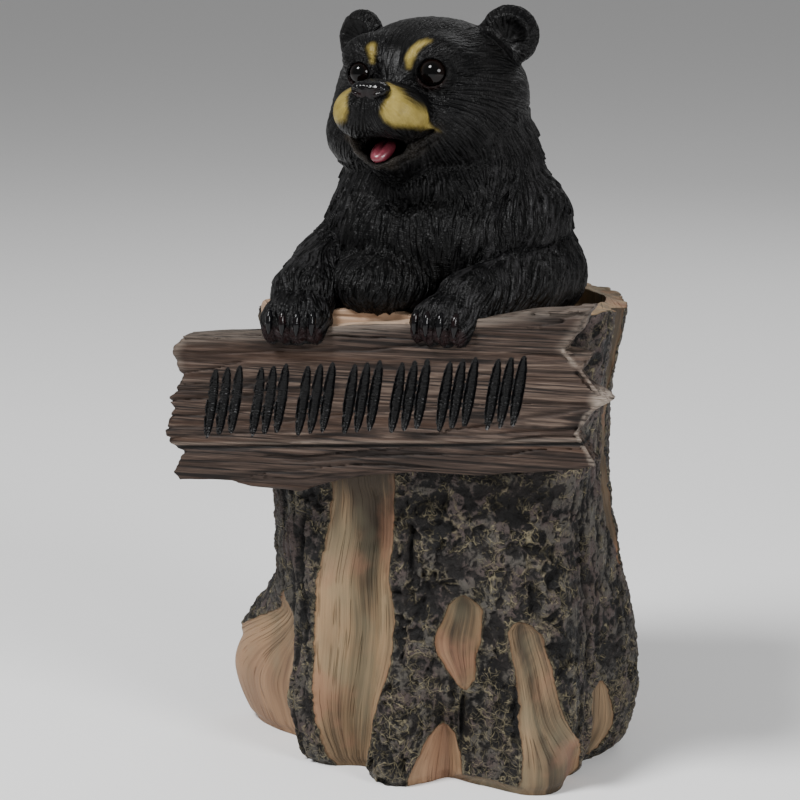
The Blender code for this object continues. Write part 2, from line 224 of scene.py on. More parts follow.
STROKE_SLANT = 14

# ---- stage: metres, degrees and watts ----
CAMERA_TURN = 15
CAMERA_RISE = 11.5
CAMERA_DISTANCE = 1.12
CAMERA_TARGET = (-0.0193, 0, 0.1606)
LENS = 110.2
SENSOR_WIDTH = 36
# (name, place, size, power)
LAMPS = (
    ("key", (-0.75, -1.05, 1.85), 0.65, 58),
    ("fill", (1.4, -1.0, 0.9), 0.7, 24),
    ("rim", (0.3, 1.4, 1.2), 1.0, 4),
)
LAMP_TARGET = (0, 0, 0.17)
AMBIENT = 0.3
FLOOR_COLOUR = (0.9, 0.9, 0.9, 1)
FLOOR_ROUGHNESS = 0.9


# ------------------------------------------------------------------ small field library
# Points are arrays of shape (3, count), in mm.

def rotation(nod, roll, turn):
    """Rotation matrix from degrees about X, then Y, then Z."""
    a, b, c = (math.radians(v) for v in (nod, roll, turn))
    rx = np.array([[1, 0, 0], [0, math.cos(a), -math.sin(a)], [0, math.sin(a), math.cos(a)]])
    ry = np.array([[math.cos(b), 0, math.sin(b)], [0, 1, 0], [-math.sin(b), 0, math.cos(b)]])
    rz = np.array([[math.cos(c), -math.sin(c), 0], [math.sin(c), math.cos(c), 0], [0, 0, 1]])
    return rz @ ry @ rx


def column(values, like):
    """Three numbers in the shape and type that go with an array of points."""
    return np.asarray(values, like.dtype)[:, None]


def local(points, centre, turn=None):
    """Points as seen from a frame that sits at a centre, turned by a rotation matrix."""
    moved = points - column(centre, points)
    return moved if turn is None else np.asarray(turn.T, points.dtype) @ moved


def length(q):
    return np.sqrt(q[0] * q[0] + q[1] * q[1] + q[2] * q[2])


def ellipsoid(points, centre, radii, turn=None):
    """Distance to an ellipsoid, near enough for fillets."""
    q = local(points, centre, turn) / column(radii, points)
    k0 = length(q)
    k1 = length(q / column(radii, points))
    return k0 * (k0 - 1) / np.maximum(k1, 1e-6)


def limb(points, start, end, start_radius, end_radius):
    """A round cone with ball ends."""
    start = column(start, points)
    along = column(end, points) - start
    q = points - start
    t = np.clip((along.T @ q)[0] / (along * along).sum(), 0, 1)
    return length(q - along * t) - (start_radius + t * (end_radius - start_radius))


def join(a, b, soft):
    """Union of two fields with a fillet."""
    h = np.clip(0.5 + 0.5 * (b - a) / soft, 0, 1)
    return b + (a - b) * h - soft * h * (1 - h)


def carve(a, b, soft):
    """Field a with field b taken out, the edge rounded."""
    return -join(-a, b, soft)


def merged(fields, soft=None):
    """Union of several fields, with fillets if soft is given."""
    total = None
    for d in fields:
        if total is None:
            total = d
        else:
            total = np.minimum(total, d) if soft is None else join(total, d, soft)
    return total


def both(centre, middle=0.0):
    """A centre and its mirror image on the other side of the middle plane."""
    x, y, z = centre
    return ((middle + x, y, z), (middle - x, y, z))


def ease(value, low=0.0, high=1.0):
    """Smooth step from 0 at low to 1 at high."""
    t = np.clip((value - low) / (high - low), 0, 1)
    return t * t * (3 - 2 * t)


def fade(value, low, high):
    """Smooth step from 1 at low to 0 at high."""
    return 1 - ease(value, low, high)


LATTICE_TURN = rotation(*NOISE_TURN)


def noise(points, size, seed, stretch=(1, 1, 1)):
    """Smooth value noise from 0 to 1 with cells of about the given size."""
    table = np.random.default_rng(seed).random((NOISE_CELLS,) * 3).astype(np.float32)
    q = points / column([size * s for s in stretch], points)
    return lattice(np.asarray(LATTICE_TURN, points.dtype) @ q, table, NOISE_CELLS)


def lattice(q, table, cells):
    """Reads a table that repeats every so many cells, blended smoothly between its entries."""
    cell = np.floor(q)
    t = (q - cell).astype(np.float32)
    t = t * t * (3 - 2 * t)
    low = cell.astype(np.int64) % cells
    high = (low + 1) % cells
    out = np.zeros(q.shape[1], np.float32)
    for corner in range(8):
        pick = [(high if corner >> axis & 1 else low)[axis] for axis in range(3)]
        weight = np.ones_like(out)
        for axis in range(3):
            weight = weight * (t[axis] if corner >> axis & 1 else 1 - t[axis])
        out += weight * table[pick[0], pick[1], pick[2]]
    return out


def clouds(points, size, seed, stretch=(1, 1, 1), layers=3):
    """Several sizes of noise on top of each other, about 0 to 1."""
    total = np.zeros(points.shape[1], np.float32)
    weight = 0
    for layer in range(layers):
        total += noise(points, size / 2 ** layer, seed + layer, stretch) / 2 ** layer
        weight += 1 / 2 ** layer
    return total / weight


def cells(points, size, seed):
    """Nearest and second nearest distance to scattered seeds, and the nearest one's number."""
    q = points / column([size] * 3, points)
    table = np.random.default_rng(seed).random((SEED_CELLS,) * 3 + (3,)).astype(np.float32)
    cell = np.floor(q).astype(np.int64)
    first = np.full(q.shape[1], 9, np.float32)
    second = first.copy()
    name = np.zeros(q.shape[1], np.float32)
    for dx in (-1, 0, 1):
        for dy in (-1, 0, 1):
            for dz in (-1, 0, 1):
                at = cell + np.array([[dx], [dy], [dz]])
                key = at % SEED_CELLS
                seat = table[key[0], key[1], key[2]]
                gap = length((at - q).astype(np.float32) + seat.T)
                nearer = gap < first
                second = np.where(nearer, first, np.minimum(second, gap))
                name = np.where(nearer, seat[:, 0] * 7.31 % 1, name)
                first = np.where(nearer, gap, first)
    return first, second, name


# ------------------------------------------------------------------ the bear's smooth form

HEAD_ROTATION = rotation(HEAD_NOD, 0, HEAD_TURN)


def to_head(points):
    """Points in the head's own frame."""
    return local(points, HEAD_CENTRE, HEAD_ROTATION)


def from_head(place):
    return np.asarray(HEAD_CENTRE) + HEAD_ROTATION @ np.asarray(place, float)


def head_field(points):
    """The skull, cheeks, brow, muzzle and jaw, the lower lip, and lids around both eyes."""
    p = to_head(points)
    d = ellipsoid(p, (0, 4, 1), (43, 43, 35))
    for c in both((16.5, -10, -13)):
        d = join(d, ellipsoid(p, c, (23, 27, 20)), 8)
    d = join(d, ellipsoid(p, (-22, -12, -20), (17.5, 21, 13)), 7)
    for c in both((16, -27, 16)):
        d = join(d, ellipsoid(p, c, (13, 10, 9)), 8)
    muzzle = ellipsoid(p, (MUZZLE_MIDDLE, -37, -8), (19.8, 24, 11.6))
    for c in both((8.6, -45.5, -10), MUZZLE_MIDDLE):
        muzzle = join(muzzle, ellipsoid(p, c, (11.9, 14.5, 11)), 5)
    muzzle = join(muzzle, ellipsoid(p, (MUZZLE_MIDDLE, -50, -1), (8.5, 12, 5.5)), 4)
    jaw = ellipsoid(p, (1.8, -30.5, -20), (16.8, 19, 17))
    d = join(join(d, jaw, 7), muzzle, 3)
    d = join(d, chain(p, [(place, 1.9) for place in LIP], 0.5), 1.5)
    for (x, y, z), _ in EYES:
        d = carve(d, ellipsoid(p, (x * 1.07, y - 6, z), (9.6, 6, 7.8)), 4)
    for eye in EYES:
        d = join(d, lid_field(p, eye), 2)
        d = carve(d, lid_opening(p, eye), 0.8)
    x, y, z = NOSE
    return carve(d, limb(p, (x, y - 5, z - 5), (MUZZLE_MIDDLE, -60.5, -20), 0.8, 1.5), 2)


def lid_opening(p, eye):
    """The gap between an eye's lids."""
    (x, y, z), radius = eye
    return ellipsoid(p, (x * 1.04, y - 7, z - 0.2), (0.93 * radius, 7, 0.82 * radius))


def lid_field(p, eye):
    """Heavy rounded lids around an eye."""
    centre, radius = eye
    shell = ellipsoid(p, centre, (radius + 1.7, radius + 1.3, radius + 1.6))
    return carve(shell, lid_opening(p, eye), 1.2)


def mouth_field(points):
    """The open mouth: a gape whose floor dips to the front, running out into both corners."""
    p = to_head(points)
    d = ellipsoid(p, (1.5, -45, -24.2), (10.5, 16, 4.5))
    d = join(d, ellipsoid(p, (1.5, -50, -27), (6, 9, 4.2)), 2)
    d = join(d, limb(p, (-6, -47, -22.8), (-16.5, -38.5, -17.6), 2.4, 0.8), 2.5)
    return join(d, limb(p, (9, -47, -22.0), (20.5, -36.5, -16.0), 2.3, 0.9), 2.5)


def cupped_ear(p, centre, radius, splay):
    """A round ear, hollowed at the front."""
    turn = rotation(0, 0, splay)
    d = ellipsoid(p, centre, (radius, 6, radius), turn)
    q = local(p, centre, turn)
    return carve(d, ellipsoid(q, (0, -8, -1.5), (radius * 0.72, 7.5, radius * 0.72)), 2.5)


def ear_field(points):
    p = to_head(points)
    return merged(cupped_ear(p, *ear) for ear in EARS)


def chain(points, stations, soft=4):
    """Limbs strung through stations of (place, radius)."""
    pairs = zip(stations, stations[1:])
    return merged((limb(points, a, b, ra, rb) for (a, ra), (b, rb) in pairs), soft)


def paw_axes(paw):
    """The paw's middle, the way its toes point and the way across them."""
    middle, turn = paw
    turn = math.radians(turn)
    forward = np.array([math.sin(turn), -math.cos(turn), 0])
    return np.array(middle, float), forward, np.array([-forward[1], forward[0], 0])


def toe_places(paw):
    """The middle of each toe of a paw."""
    middle, forward, side = paw_axes(paw)
    for toe in range(PAW_TOES):
        off = toe - (PAW_TOES - 1) / 2
        yield middle + forward * (7.8 - 0.8 * off * off) + side * off * TOE_STEP + (0, 0, -2)


def paw_field(points, paw):
    """A broad paw: a pad with its toes fanned over the plank's edge."""
    middle, turn = paw
    d = ellipsoid(points, middle, (14.6, 12.5, 10.8), rotation(0, 0, turn))
    for toe in toe_places(paw):
        d = join(d, ellipsoid(points, toe, (3.8, 5.8, 7.4), rotation(0, 0, turn)), 2.2)
    return d


def torso_field(points):
    d = ellipsoid(points, *BELLY)
    for centre, radii, soft in BODY:
        d = join(d, ellipsoid(points, centre, radii), soft)
    for start, end, depth in FOLDS:
        d = carve(d, limb(points, start, end, depth, depth), 3.5)
    return d


def arm_field(points, stations, paw):
    return join(chain(points, stations), paw_field(points, paw), 3)


def bear_field(points):
    """All of the cub, cut off under the floor of the hollow."""
    d = join(torso_field(points), head_field(points), 3)
    d = join(d, ear_field(points), 3)
    d = carve(d, mouth_field(points), 1.0)
    for stations, paw in ARMS:
        d = join(d, arm_field(points, stations, paw), 2.5)
    return np.maximum(d, BEAR_FOOT - points[2])


# ------------------------------------------------------------------ fur

def unit(vectors):
    return vectors / np.maximum(length(vectors), 1e-9)


def fur_way(points):
    """Which way the fur lies: back from the nose, down the body and arms, out from the ears."""
    down = column((0, 0, -1), points)
    nose = column(from_head((0, -62, 2)), points)
    head = unit(points - nose) + 0.9 * ease(304 - points[2], 0, 40) * down
    sway = noise(points, 26, 31) - 0.5
    drift = noise(points, 19, 32) - 0.5
    wave = (noise(points, 10, 33) - 0.5) * column((1.5, 0.4, 0), points)
    body = down + sway * column((1.3, 0.5, 0), points) + drift * column((0.3, 0.9, 0), points) + wave
    body = body + column((-0.35, 0, 0), points) * ease(points[0], -10, 25)
    body = body + 0.25 * unit(points - column(from_head((0, -30, -20)), points))
    ways = [(head_field(points) - 3, head), (torso_field(points), body)]
    for centre, radius, _ in EARS:
        hub = column(from_head((centre[0] * 0.97, centre[1], centre[2] - 3)), points)
        gap = length(points - column(from_head(centre), points)) - radius - 1
        ways.append((gap, unit(points - hub)))
    for stations, paw in ARMS:
        middle, forward, _ = paw_axes(paw)
        for (a, ra), (b, rb) in zip(stations, stations[1:]):
            along = column(np.subtract(b, a) / np.linalg.norm(np.subtract(b, a)), points)
            hang = 0.75 * along + down + 0.8 * sway * column((1, 0.6, 0), points) + wave
            ways.append((limb(points, a, b, ra, rb) - 1, hang))
        wrist = column(middle - forward * 6 + (0, 0, 8), points)
        fan = unit(points - wrist) + 0.4 * column(forward, points)
        ways.append((paw_field(points, paw) - 1, fan))
    total = np.zeros_like(points)
    for gap, way in ways:
        total += np.exp(-np.clip(gap, -12, 40) / 2.5) * way
    return unit(total)


class Flow:
    """The fur's way, worked out once on a coarse grid and read between its points."""

    def __init__(self, low, high):
        self.low = np.asarray(low, float)[:, None]
        counts = np.ceil((np.asarray(high) - low) / FLOW_STEP).astype(int) + 2
        self.cells = int(counts.max())
        axes = [low[i] + FLOW_STEP * np.arange(self.cells) for i in range(3)]
        spots = np.stack(np.meshgrid(*axes, indexing="ij")).reshape(3, -1)
        way = fur_way(spots.astype(np.float32)).reshape(3, self.cells, self.cells, self.cells)
        self.tables = way.astype(np.float32)

    def at(self, points, slope):
        """The fur's way at points, flattened onto the surface."""
        q = (points - self.low) / FLOW_STEP
        way = np.stack([lattice(q, table, self.cells) for table in self.tables])
        way = way - slope * (way * slope).sum(axis=0)
        return unit(way)


class Bins:
    """Points sorted into boxes, so that those around a spot are found quickly."""

    def __init__(self, points, size):
        self.size = size
        self.low = points.min(axis=1)
        box = ((points - self.low[:, None]) / size).astype(int) + 1
        self.counts = box.max(axis=1) + 2
        key = self.number(*box)
        self.order = np.argsort(key, kind="stable")
        self.starts = np.searchsorted(key[self.order], np.arange(int(np.prod(self.counts)) + 1))

    def number(self, x, y, z):
        return (x * self.counts[1] + y) * self.counts[2] + z

    def near(self, spot):
        """Numbers of the points in the boxes around a spot."""
        x, y, z = ((spot - self.low) / self.size).astype(int) + 1
        found = []
        for i in (x - 1, x, x + 1):
            for j in (y - 1, y, y + 1):
                row = self.number(i, j, z)
                found.append(self.order[self.starts[row - 1]:self.starts[row + 2]])
        return np.concatenate(found)


def spread_seeds(points, gap, rng):
    """Numbers of points about a gap apart."""
    box = np.floor(points / gap).astype(np.int64)
    key = (box[0] * 4096 + box[1]) * 4096 + box[2]
    order = rng.permutation(points.shape[1])
    return order[np.unique(key[order], return_index=True)[1]]


def grow_tufts(points, slope, way, coat, seed):
    """Height in mm of overlapping pointed tufts laid along the fur's way.

    coat lists (which points, length, half width, rise) for each kind of tuft."""
    rng = np.random.default_rng(seed)
    height = np.zeros(points.shape[1])
    bins = Bins(points, 10.5)
    columns = points.T.copy()
    normals = slope.T.copy()
    for chosen, long, half, rise in coat:
        seeds = spread_seeds(points, 0.52 * math.sqrt(long * half), rng)
        seeds = seeds[chosen[seeds]]
        for place in seeds:
            size = rng.uniform(0.65, 1.35)
            proud = rng.uniform(0.35, 1.3)
            curl = rng.normal(0, 0.012)
            turn = rng.normal(0, 0.16)
            normal = normals[place]
            run = way[:, place]
            side = np.cross(normal, run)
            turned = run * math.cos(turn) + side * math.sin(turn)
            side = side * math.cos(turn) - run * math.sin(turn)
            near = bins.near(columns[place])
            offset = columns[near] - columns[place]
            b = offset @ turned
            u = b / (long * size)
            keep = np.abs(u) < 0.5
            near, offset, b, u = near[keep], offset[keep], b[keep], u[keep]
            a = offset @ side - curl * b * b
            wide = half * size * np.sqrt(np.clip((u + 0.5) * 3.2, 0, 1))
            wide = wide * np.clip((0.5 - u) * 1.7, 0, 1) ** 0.7
            r = np.abs(a) / np.maximum(wide, 1e-3)
            keep = (r < 1) & (np.abs(offset @ normal) < 5) & (normals[near] @ normal > 0.2)
            near, u, r = near[keep], u[keep], r[keep]
            dome = rise * proud * (0.3 + 0.7 * (u + 0.5)) * (1 - r * r) ** 0.6
            height[near] = np.maximum(height[near], dome)
    return height


def strands(points, way):
    """Noise smeared out along the fur's way, about 0 to 1."""
    steps = np.linspace(-4, 4, 9)
    total = sum(noise(points + step * way, 1.6, 44) for step in steps)
    return np.clip(0.5 + 2.0 * (total / len(steps) - 0.5), 0, 1)


# ------------------------------------------------------------------ meshing

def skin(field, low, high, step):
    """Quads on a field's surface, pulled exactly onto it.

    Only blocks near the surface are filled in."""
    low = np.asarray(low, float)
    blocks = np.ceil((np.asarray(high) - low) / (step * BLOCK)).astype(int) + 1
    middles = [low[i] + step * (BLOCK * np.arange(blocks[i]) + (BLOCK - 1) / 2) for i in range(3)]
    centres = np.stack(np.meshgrid(*middles, indexing="ij")).reshape(3, -1).astype(np.float32)
    coarse = field(centres)
    limit = 3 * step
    values = np.repeat(np.clip(coarse, -limit, limit)[:, None], BLOCK ** 3, axis=1)
    near = np.flatnonzero(np.abs(coarse) < 0.95 * BLOCK * step * 1.2 + limit)
    offsets = step * (np.arange(BLOCK) - (BLOCK - 1) / 2)
    spread = np.stack(np.meshgrid(offsets, offsets, offsets, indexing="ij")).reshape(3, 1, -1)
    for part in np.array_split(near, max(1, len(near) // 4000)):
        spots = centres[:, part, None] + spread.astype(np.float32)
        values[part] = field(spots.reshape(3, -1)).reshape(len(part), -1)
    values = values.reshape(*blocks, BLOCK, BLOCK, BLOCK).transpose(0, 3, 1, 4, 2, 5)
    values = values.reshape(blocks * BLOCK)
    grid = vdb.FloatGrid()
    grid.background = limit
    grid.copyFromArray(np.ascontiguousarray(np.clip(values, -limit, limit), np.float32))
    points, quads = grid.convertToQuads()
    points = low[:, None] + points.T.astype(float) * step
    for _ in range(2):
        value, slope = field_and_slope(field, points)
        points = points - slope * np.clip(value, -step, step)
    return points, quads[:, ::-1].astype(np.int64)


def field_and_slope(field, points):
    """Signed distance to a field's surface and the unit way out of it."""
    reach = 0.05
    value = field(points)
    slope = np.stack([field(points + reach * column(np.eye(3)[axis], points)) - value
                      for axis in range(3)])
    size = np.maximum(length(slope), 1e-9)
    return value * reach / size, slope / size


def corner_normals(points, faces):
    """Vertex normals, each face counted by its area."""
    corners = points.T[faces]
    across = np.cross(corners[:, 2] - corners[:, 0], corners[:, 3] - corners[:, 1])
    total = np.zeros((points.shape[1], 3))
    for corner in range(4):
        for axis in range(3):
            total[:, axis] += np.bincount(faces[:, corner], across[:, axis], points.shape[1])
    return total / np.maximum(np.linalg.norm(total, axis=1, keepdims=True), 1e-12)


def mesh_piece(name, points, faces, material, normals=None, **attributes):
    """Makes one piece of the figurine; its attributes are masks that the material reads."""
    mesh = bpy.data.meshes.new(name)
    mesh.from_pydata((points.T * MM).tolist(), [], [list(f) for f in faces])
    mesh.materials.append(material)
    mesh.shade_smooth()
    for key, values in attributes.items():
        layer = mesh.attributes.new(key, "FLOAT", "POINT")
        layer.data.foreach_set("value", np.asarray(values, np.float32))
    if normals is not None:
        mesh.normals_split_custom_set_from_vertices(normals.tolist())
    piece = bpy.data.objects.new(name, mesh)
    bpy.context.scene.collection.objects.link(piece)
    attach(piece, "root")
    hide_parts(NODE)
    return piece


def part_of(points, faces, chosen):
    """The chosen faces alone: their points, renumbered faces and the points' old numbers."""
    kept = faces[chosen]
    used = np.unique(kept)
    number = np.full(points.shape[1], -1)
    number[used] = np.arange(len(used))
    return points[:, used], number[kept], used


# ------------------------------------------------------------------ stump

def bell(angle, middle, spread):
    """1 at the middle angle, falling away on both sides; degrees."""
    return np.exp(-(turn_from(angle, middle) / spread) ** 2)


def turn_from(angle, middle):
    """Degrees from the middle angle, -180 to 180."""
    return (angle - middle + 180) % 360 - 180


def stump_radius(angle, height):
    """Distance from the stump's axis to its bark, before any relief."""
    squareness = SQUARENESS[0] + (SQUARENESS[1] - SQUARENESS[0]) * ease(height, 0, STUMP_HEIGHT)
    turn = np.radians(angle)
    depth = np.where(np.cos(turn) > 0, FRONT_DEPTH, BACK_DEPTH)
    across = (np.abs(np.sin(turn)) / HALF_WIDTH) ** squareness
    along = (np.abs(np.cos(turn)) / depth) ** squareness
    radius = (across + along) ** (-1 / squareness)
    for middle, reach, spread, top in ROOTS:
        radius = radius + reach * fade(height, 0.25 * top, top) * bell(angle, middle, spread)
    for middle, reach, spread, start in SHOULDERS:
        radius = radius + reach * ease(height, start, STUMP_HEIGHT) * bell(angle, middle, spread)
    for low, high, spread, deep, top in CHANNELS:
        middle = low + (high - low) * np.minimum(height / top, 1)
        radius = radius - deep * fade(height, 0.7 * top, top) * bell(angle, middle, spread)
    for middle, spread, deep, top in TUCKS:
        radius = radius - deep * np.clip(1 - height / top, 0, 1) ** 2 * bell(angle, middle, spread)
    return radius


def window_depth(angle, height, radius, spots):
    """How far inside a bare window a spot is, in mm, where it is across it and in its grain."""
    inside = np.full(angle.shape, -99.0)
    across = np.zeros_like(inside)
    lane = np.zeros_like(inside)
    ragged = 2.2 * (clouds(spots, 13, 61, layers=2) - 0.5) + 0.9 * (noise(spots, 4.5, 64) - 0.5)
    for index, stations in enumerate(WINDOWS):
        angles, heights, halves = (np.array(v, float)[::-1] for v in zip(*stations))
        middle = soft_interp(height, heights, angles)
        half = soft_interp(height, heights, halves)
        left_above = heights[-1] - height
        left_below = height - heights[0] if heights[0] > 0 else 99
        half = half * np.sqrt(np.clip(np.minimum(left_above, left_below) / 5, 0, 1))
        off = turn_from(angle, middle)
        gap = np.radians(half - np.abs(off)) * radius + ragged * np.clip(half / 6, 0.3, 1)
        gap = np.minimum(gap, np.minimum(left_above, left_below))
        better = gap > inside
        inside = np.where(better, gap, inside)
        side = off / np.maximum(half, 1)
        across = np.where(better, side, across)
        lane = np.where(better, side * halves.mean() * 1.6 + 41 * index, lane)
    return inside, across, lane


def soft_interp(value, places, amounts):
    """Interpolation between stations with the corners rounded off."""
    reach = 4
    total = 0
    for shift in (-1, -0.5, 0, 0.5, 1):
        total = total + np.interp(value + shift * reach, places, amounts)
    return total / 5


def ridged(value):
    """Turns smooth noise into one with sharp crests."""
    return 1 - np.abs(2 * value - 1)


def crack_depth(spots, angle, height):
    """Over 1 in the middle of an upright crack, less towards its sides and ends."""
    crack = np.zeros_like(height)
    for middle, low, high in CRACKS:
        wander = middle + 2.6 * (noise(spots * column((0, 0, 1), spots), 11, 97) - 0.5)
        wide = 1.3 * ease(height, low - 4, low + 10) * fade(height, high - 10, high + 4)
        crack = np.maximum(crack, np.exp(-(turn_from(angle, wander) / 1.2) ** 2) * wide)
    return crack


def bark_relief(spots, angle, height):
    """Crusty bark, fibrous in places.

    Gives the relief in mm, the part of it that is fine detail, how deep a spot is in a pit or
    crack, and its pale raised edges."""
    bend = np.stack([clouds(spots, 8, seed, layers=2) - 0.5 for seed in (71, 74, 77)])
    q = spots + 10 * bend
    first, second, name = cells(q, 6.0, 81)
    gap = second - first
    scale = np.exp(-(gap / 0.16) ** 2)
    broken = ease(clouds(spots, 9, 87, layers=2), 0.42, 0.62)
    crust = ridged(noise(q, 2.7, 88)) - 0.5
    grit = noise(spots, 1.4, 89) - 0.5
    lumps = clouds(spots, 21, 91, (1, 1, 1.5), 3) - 0.5
    pits = ease(clouds(q, 6.5, 94, layers=2), 0.40, 0.26)
    relief = 1.25 * crust + 0.7 * grit + 0.8 * scale * broken - 1.7 * pits
    relief = relief + 2.4 * (name - 0.5) * (1 - scale)

    slant = angle - 0.14 * height * ease(angle, 30, 60) * ease(140 - angle, 20, 60)
    lanes = np.stack([1.3 * slant, 0 * angle, height / 9]) + 0.8 * bend
    strips = ridged(noise(lanes, 2.6, 96)) - 0.5
    threads = ridged(noise(lanes, 1.3, 97)) - 0.5
    fibre = np.maximum(bell(angle, SPLINTER, 13), 0.75 * bell(angle, 76, 22) * ease(height, 40, 90))
    fibre = np.maximum(fibre, 0.6 * ease(clouds(spots, 34, 98, (1, 1, 2), 2), 0.52, 0.7))
    relief = relief * (1 - 0.7 * fibre) + fibre * (3.2 * strips + 1.2 * threads)
    scale = np.maximum(scale * (1 - fibre), ease(strips, 0.32, 0.48) * fibre)

    crack = crack_depth(spots, angle, height)
    fissure = np.clip(np.maximum(0.55 * pits, crack) + 0.7 * ease(-crust, 0.28, 0.5), 0, 1)
    fissure = np.maximum(fissure, fibre * ease(-strips, 0.05, 0.4))
    return 4.2 * lumps + relief - 2.6 * crack, relief, fissure, scale * broken


def wood_relief(lane, height):
    """Split wood grain that runs down each window and fans out with it."""
    spots = np.stack([lane, 0 * lane, height])
    bend = 1.6 * (noise(spots, 18, 100, (1, 1, 3)) - 0.5)
    spots = spots + column((1, 0, 0), spots) * bend
    broad = clouds(spots, 5.5, 101, (1, 1, 14), 2) - 0.5
    fine = noise(spots, 1.1, 104, (1, 1, 22)) - 0.5
    return 1.7 * broad, broad, fine


def hollow_radius(angle):
    """Distance from the axis to the hollow's wall."""
    turn = np.radians(angle)
    way = np.stack([np.sin(turn), -np.cos(turn)]) / np.array(HOLLOW_RADII)[:, None]
    centre = np.array(HOLLOW_CENTRE) / np.array(HOLLOW_RADII)
    a = (way * way).sum(axis=0)
    b = -(way * centre[:, None]).sum(axis=0)
    c = centre @ centre - 1
    return (-b + np.sqrt(b * b - a * c)) / a


def around(angle, radius, height):
    """Points at an angle and a distance from the stump's axis."""
    turn = np.radians(angle)
    return np.stack([radius * np.sin(turn), -radius * np.cos(turn), height])


def over_the_rim(angle, lip, outer, height, crest):
    """Points over the rim and down into the hollow, and what the paint needs to know of them."""
    drop = ease(lip, 0.60, 0.86)
    floor = ease(lip, 0.84, 1)
    inner = hollow_radius(angle)
    reach = outer + (inner - outer) * ease(lip, 0, 0.62)
    reach = reach * (1 - floor) + 0.35 * inner * floor
    flat = around(angle, reach, height)
    rings = np.stack([reach + 3 * noise(flat, 22, 121), 0 * reach, 0 * reach])
    tooled = clouds(flat, 5, 125) - 0.5
    top = height + ease(lip, 0, 0.08) * 0.8 - crest * ease(lip, 0.1, 0.62) - HOLLOW_DEPTH * drop
    top = top + (0.55 * (noise(rings, 1.7, 122) - 0.5) + 1.3 * tooled) * ease(lip, 0.02, 0.2)
    place = around(angle, reach, np.where(lip > 0, top, height))
    return place, reach, drop, tooled


def wood_stain_and_shade(angle, height, spots, across, broad, fine):
    """How brown the bare wood is, about 0 to 1: a stain, and painted shade higher up under the
    plank.
    """
    middle = np.exp(-((across + 0.1) / 0.5) ** 2) * (0.35 + 0.65 * ease(height, 50, 130))
    # darker to the right and lighter on the left root; the height term is painted shade under the
    # plank
    shade = 0.12 * ease(angle, 15, 35) - 0.24 * ease(angle, -50, -60) + 0.34 * ease(height, 90, 145)
    blotch = clouds(spots, 13, 128, (1, 1, 2.6)) - 0.5
    return 0.37 + shade - 0.35 * broad - 0.3 * fine + 0.55 * middle + 0.6 * blotch


def stump_surface(angle, row):
    """Points and paint masks of one sector: up the bark, over the rim and down into the hollow."""
    wall = np.clip(row / STUMP_ROWS, 0, 1)
    lip = np.clip((row - STUMP_ROWS) / RIM_ROWS, 0, 1)
    turn = np.radians(angle)
    edge = 2.2 * (clouds(75 * np.stack([np.sin(turn), np.cos(turn), 0 * turn]), 12, 111) - 0.5)
    crest = sum(rise * bell(angle, middle, spread) for middle, spread, rise in CRESTS)
    crown = STUMP_HEIGHT + edge + crest + 5 * bell(angle, SPLINTER, 2.8)
    height = wall * (crown - 0.8)
    radius = stump_radius(angle, np.minimum(height, STUMP_HEIGHT))
    spots = around(angle, radius, height)
    inside, across, lane = window_depth(angle, height, radius, spots)
    shape, detail, fissure, pale = bark_relief(spots, angle, height)
    grain, broad, fine = wood_relief(lane, height)
    window = ease(inside, -1.3, 1.5)
    strip = np.radians(np.minimum(angle - STRIP_START, STRIP_END - angle)) * radius
    strip = np.minimum(height - STRIP_LOW, strip)
    bare = np.maximum(window, ease(strip, -0.6, 0.9))
    dished = 1.6 * ease(inside, -0.5, 5) + 1.2 * ease(inside, 0, 12)
    relief = shape * (1 - bare) + (0.4 * (shape - detail) + (grain - dished) * window) * bare
    relief = relief + 0.6 * np.exp(-((inside + 1.4) / 1.7) ** 2)
    behind_plank = bell(angle, 0, 62) * ease(height, 125, 135) * fade(height, 196, 204)
    relief = relief * (1 - 0.8 * behind_plank)
    foot = 2.5 * ease(5 - height, 0, 5)
    outer = radius + relief * ease(height, -4, 3) - foot
    place, reach, drop, tooled = over_the_rim(angle, lip, outer, height, crest)

    on_top = lip > 0.05
    on_strip = strip > inside
    # brown stain of the bare wood, with painted shade under the plank
    stain_and_shade = wood_stain_and_shade(angle, height, spots, across, broad, fine)
    strip_wash = 0.3 + 0.4 * ease(angle, -44, -50) + 0.8 * (clouds(spots, 9, 127) - 0.5)
    stain_and_shade = np.clip(np.where(on_strip, strip_wash, stain_and_shade), 0, 1)
    lane = np.where(on_strip, 0.1 * height, lane)
    masks = {
        "inside": np.where(on_top, 9, np.clip(np.maximum(inside, strip), -6, 9)),
        "fissure": np.where(on_top, 0, fissure),
        "ridge": np.where(on_top, 0, np.clip(0.5 + 0.35 * detail, 0, 1)),
        "pale": np.where(on_top, 0, pale),
        "lane": np.where(on_top, reach * 0.8 + 0.2 * angle, lane),
        "stain_and_shade": np.where(on_top, 0.35 - 1.2 * tooled + 0.5 * bell(angle, SPLINTER, 7), stain_and_shade),
        "rim": np.where(on_top, 1 - drop, 0),
        "pink": np.maximum.reduce([
            bell(angle, 13, 10) * ease(height, 34, 20),
            bell(angle, 16, 6) * ease(height, 70, 55),
            0.8 * bell(angle, -88, 20) * ease(height, 62, 30),
        ]),
        # pale pink wood on the splinter; on the strip under the rim a painted light that keeps it
        # pale in the cub's shadow
        "pale_and_painted_light": np.maximum(bell(angle, SPLINTER, 7) * ease(height, 190, 200), ease(strip, 0, 2)),
    }
    return place, masks


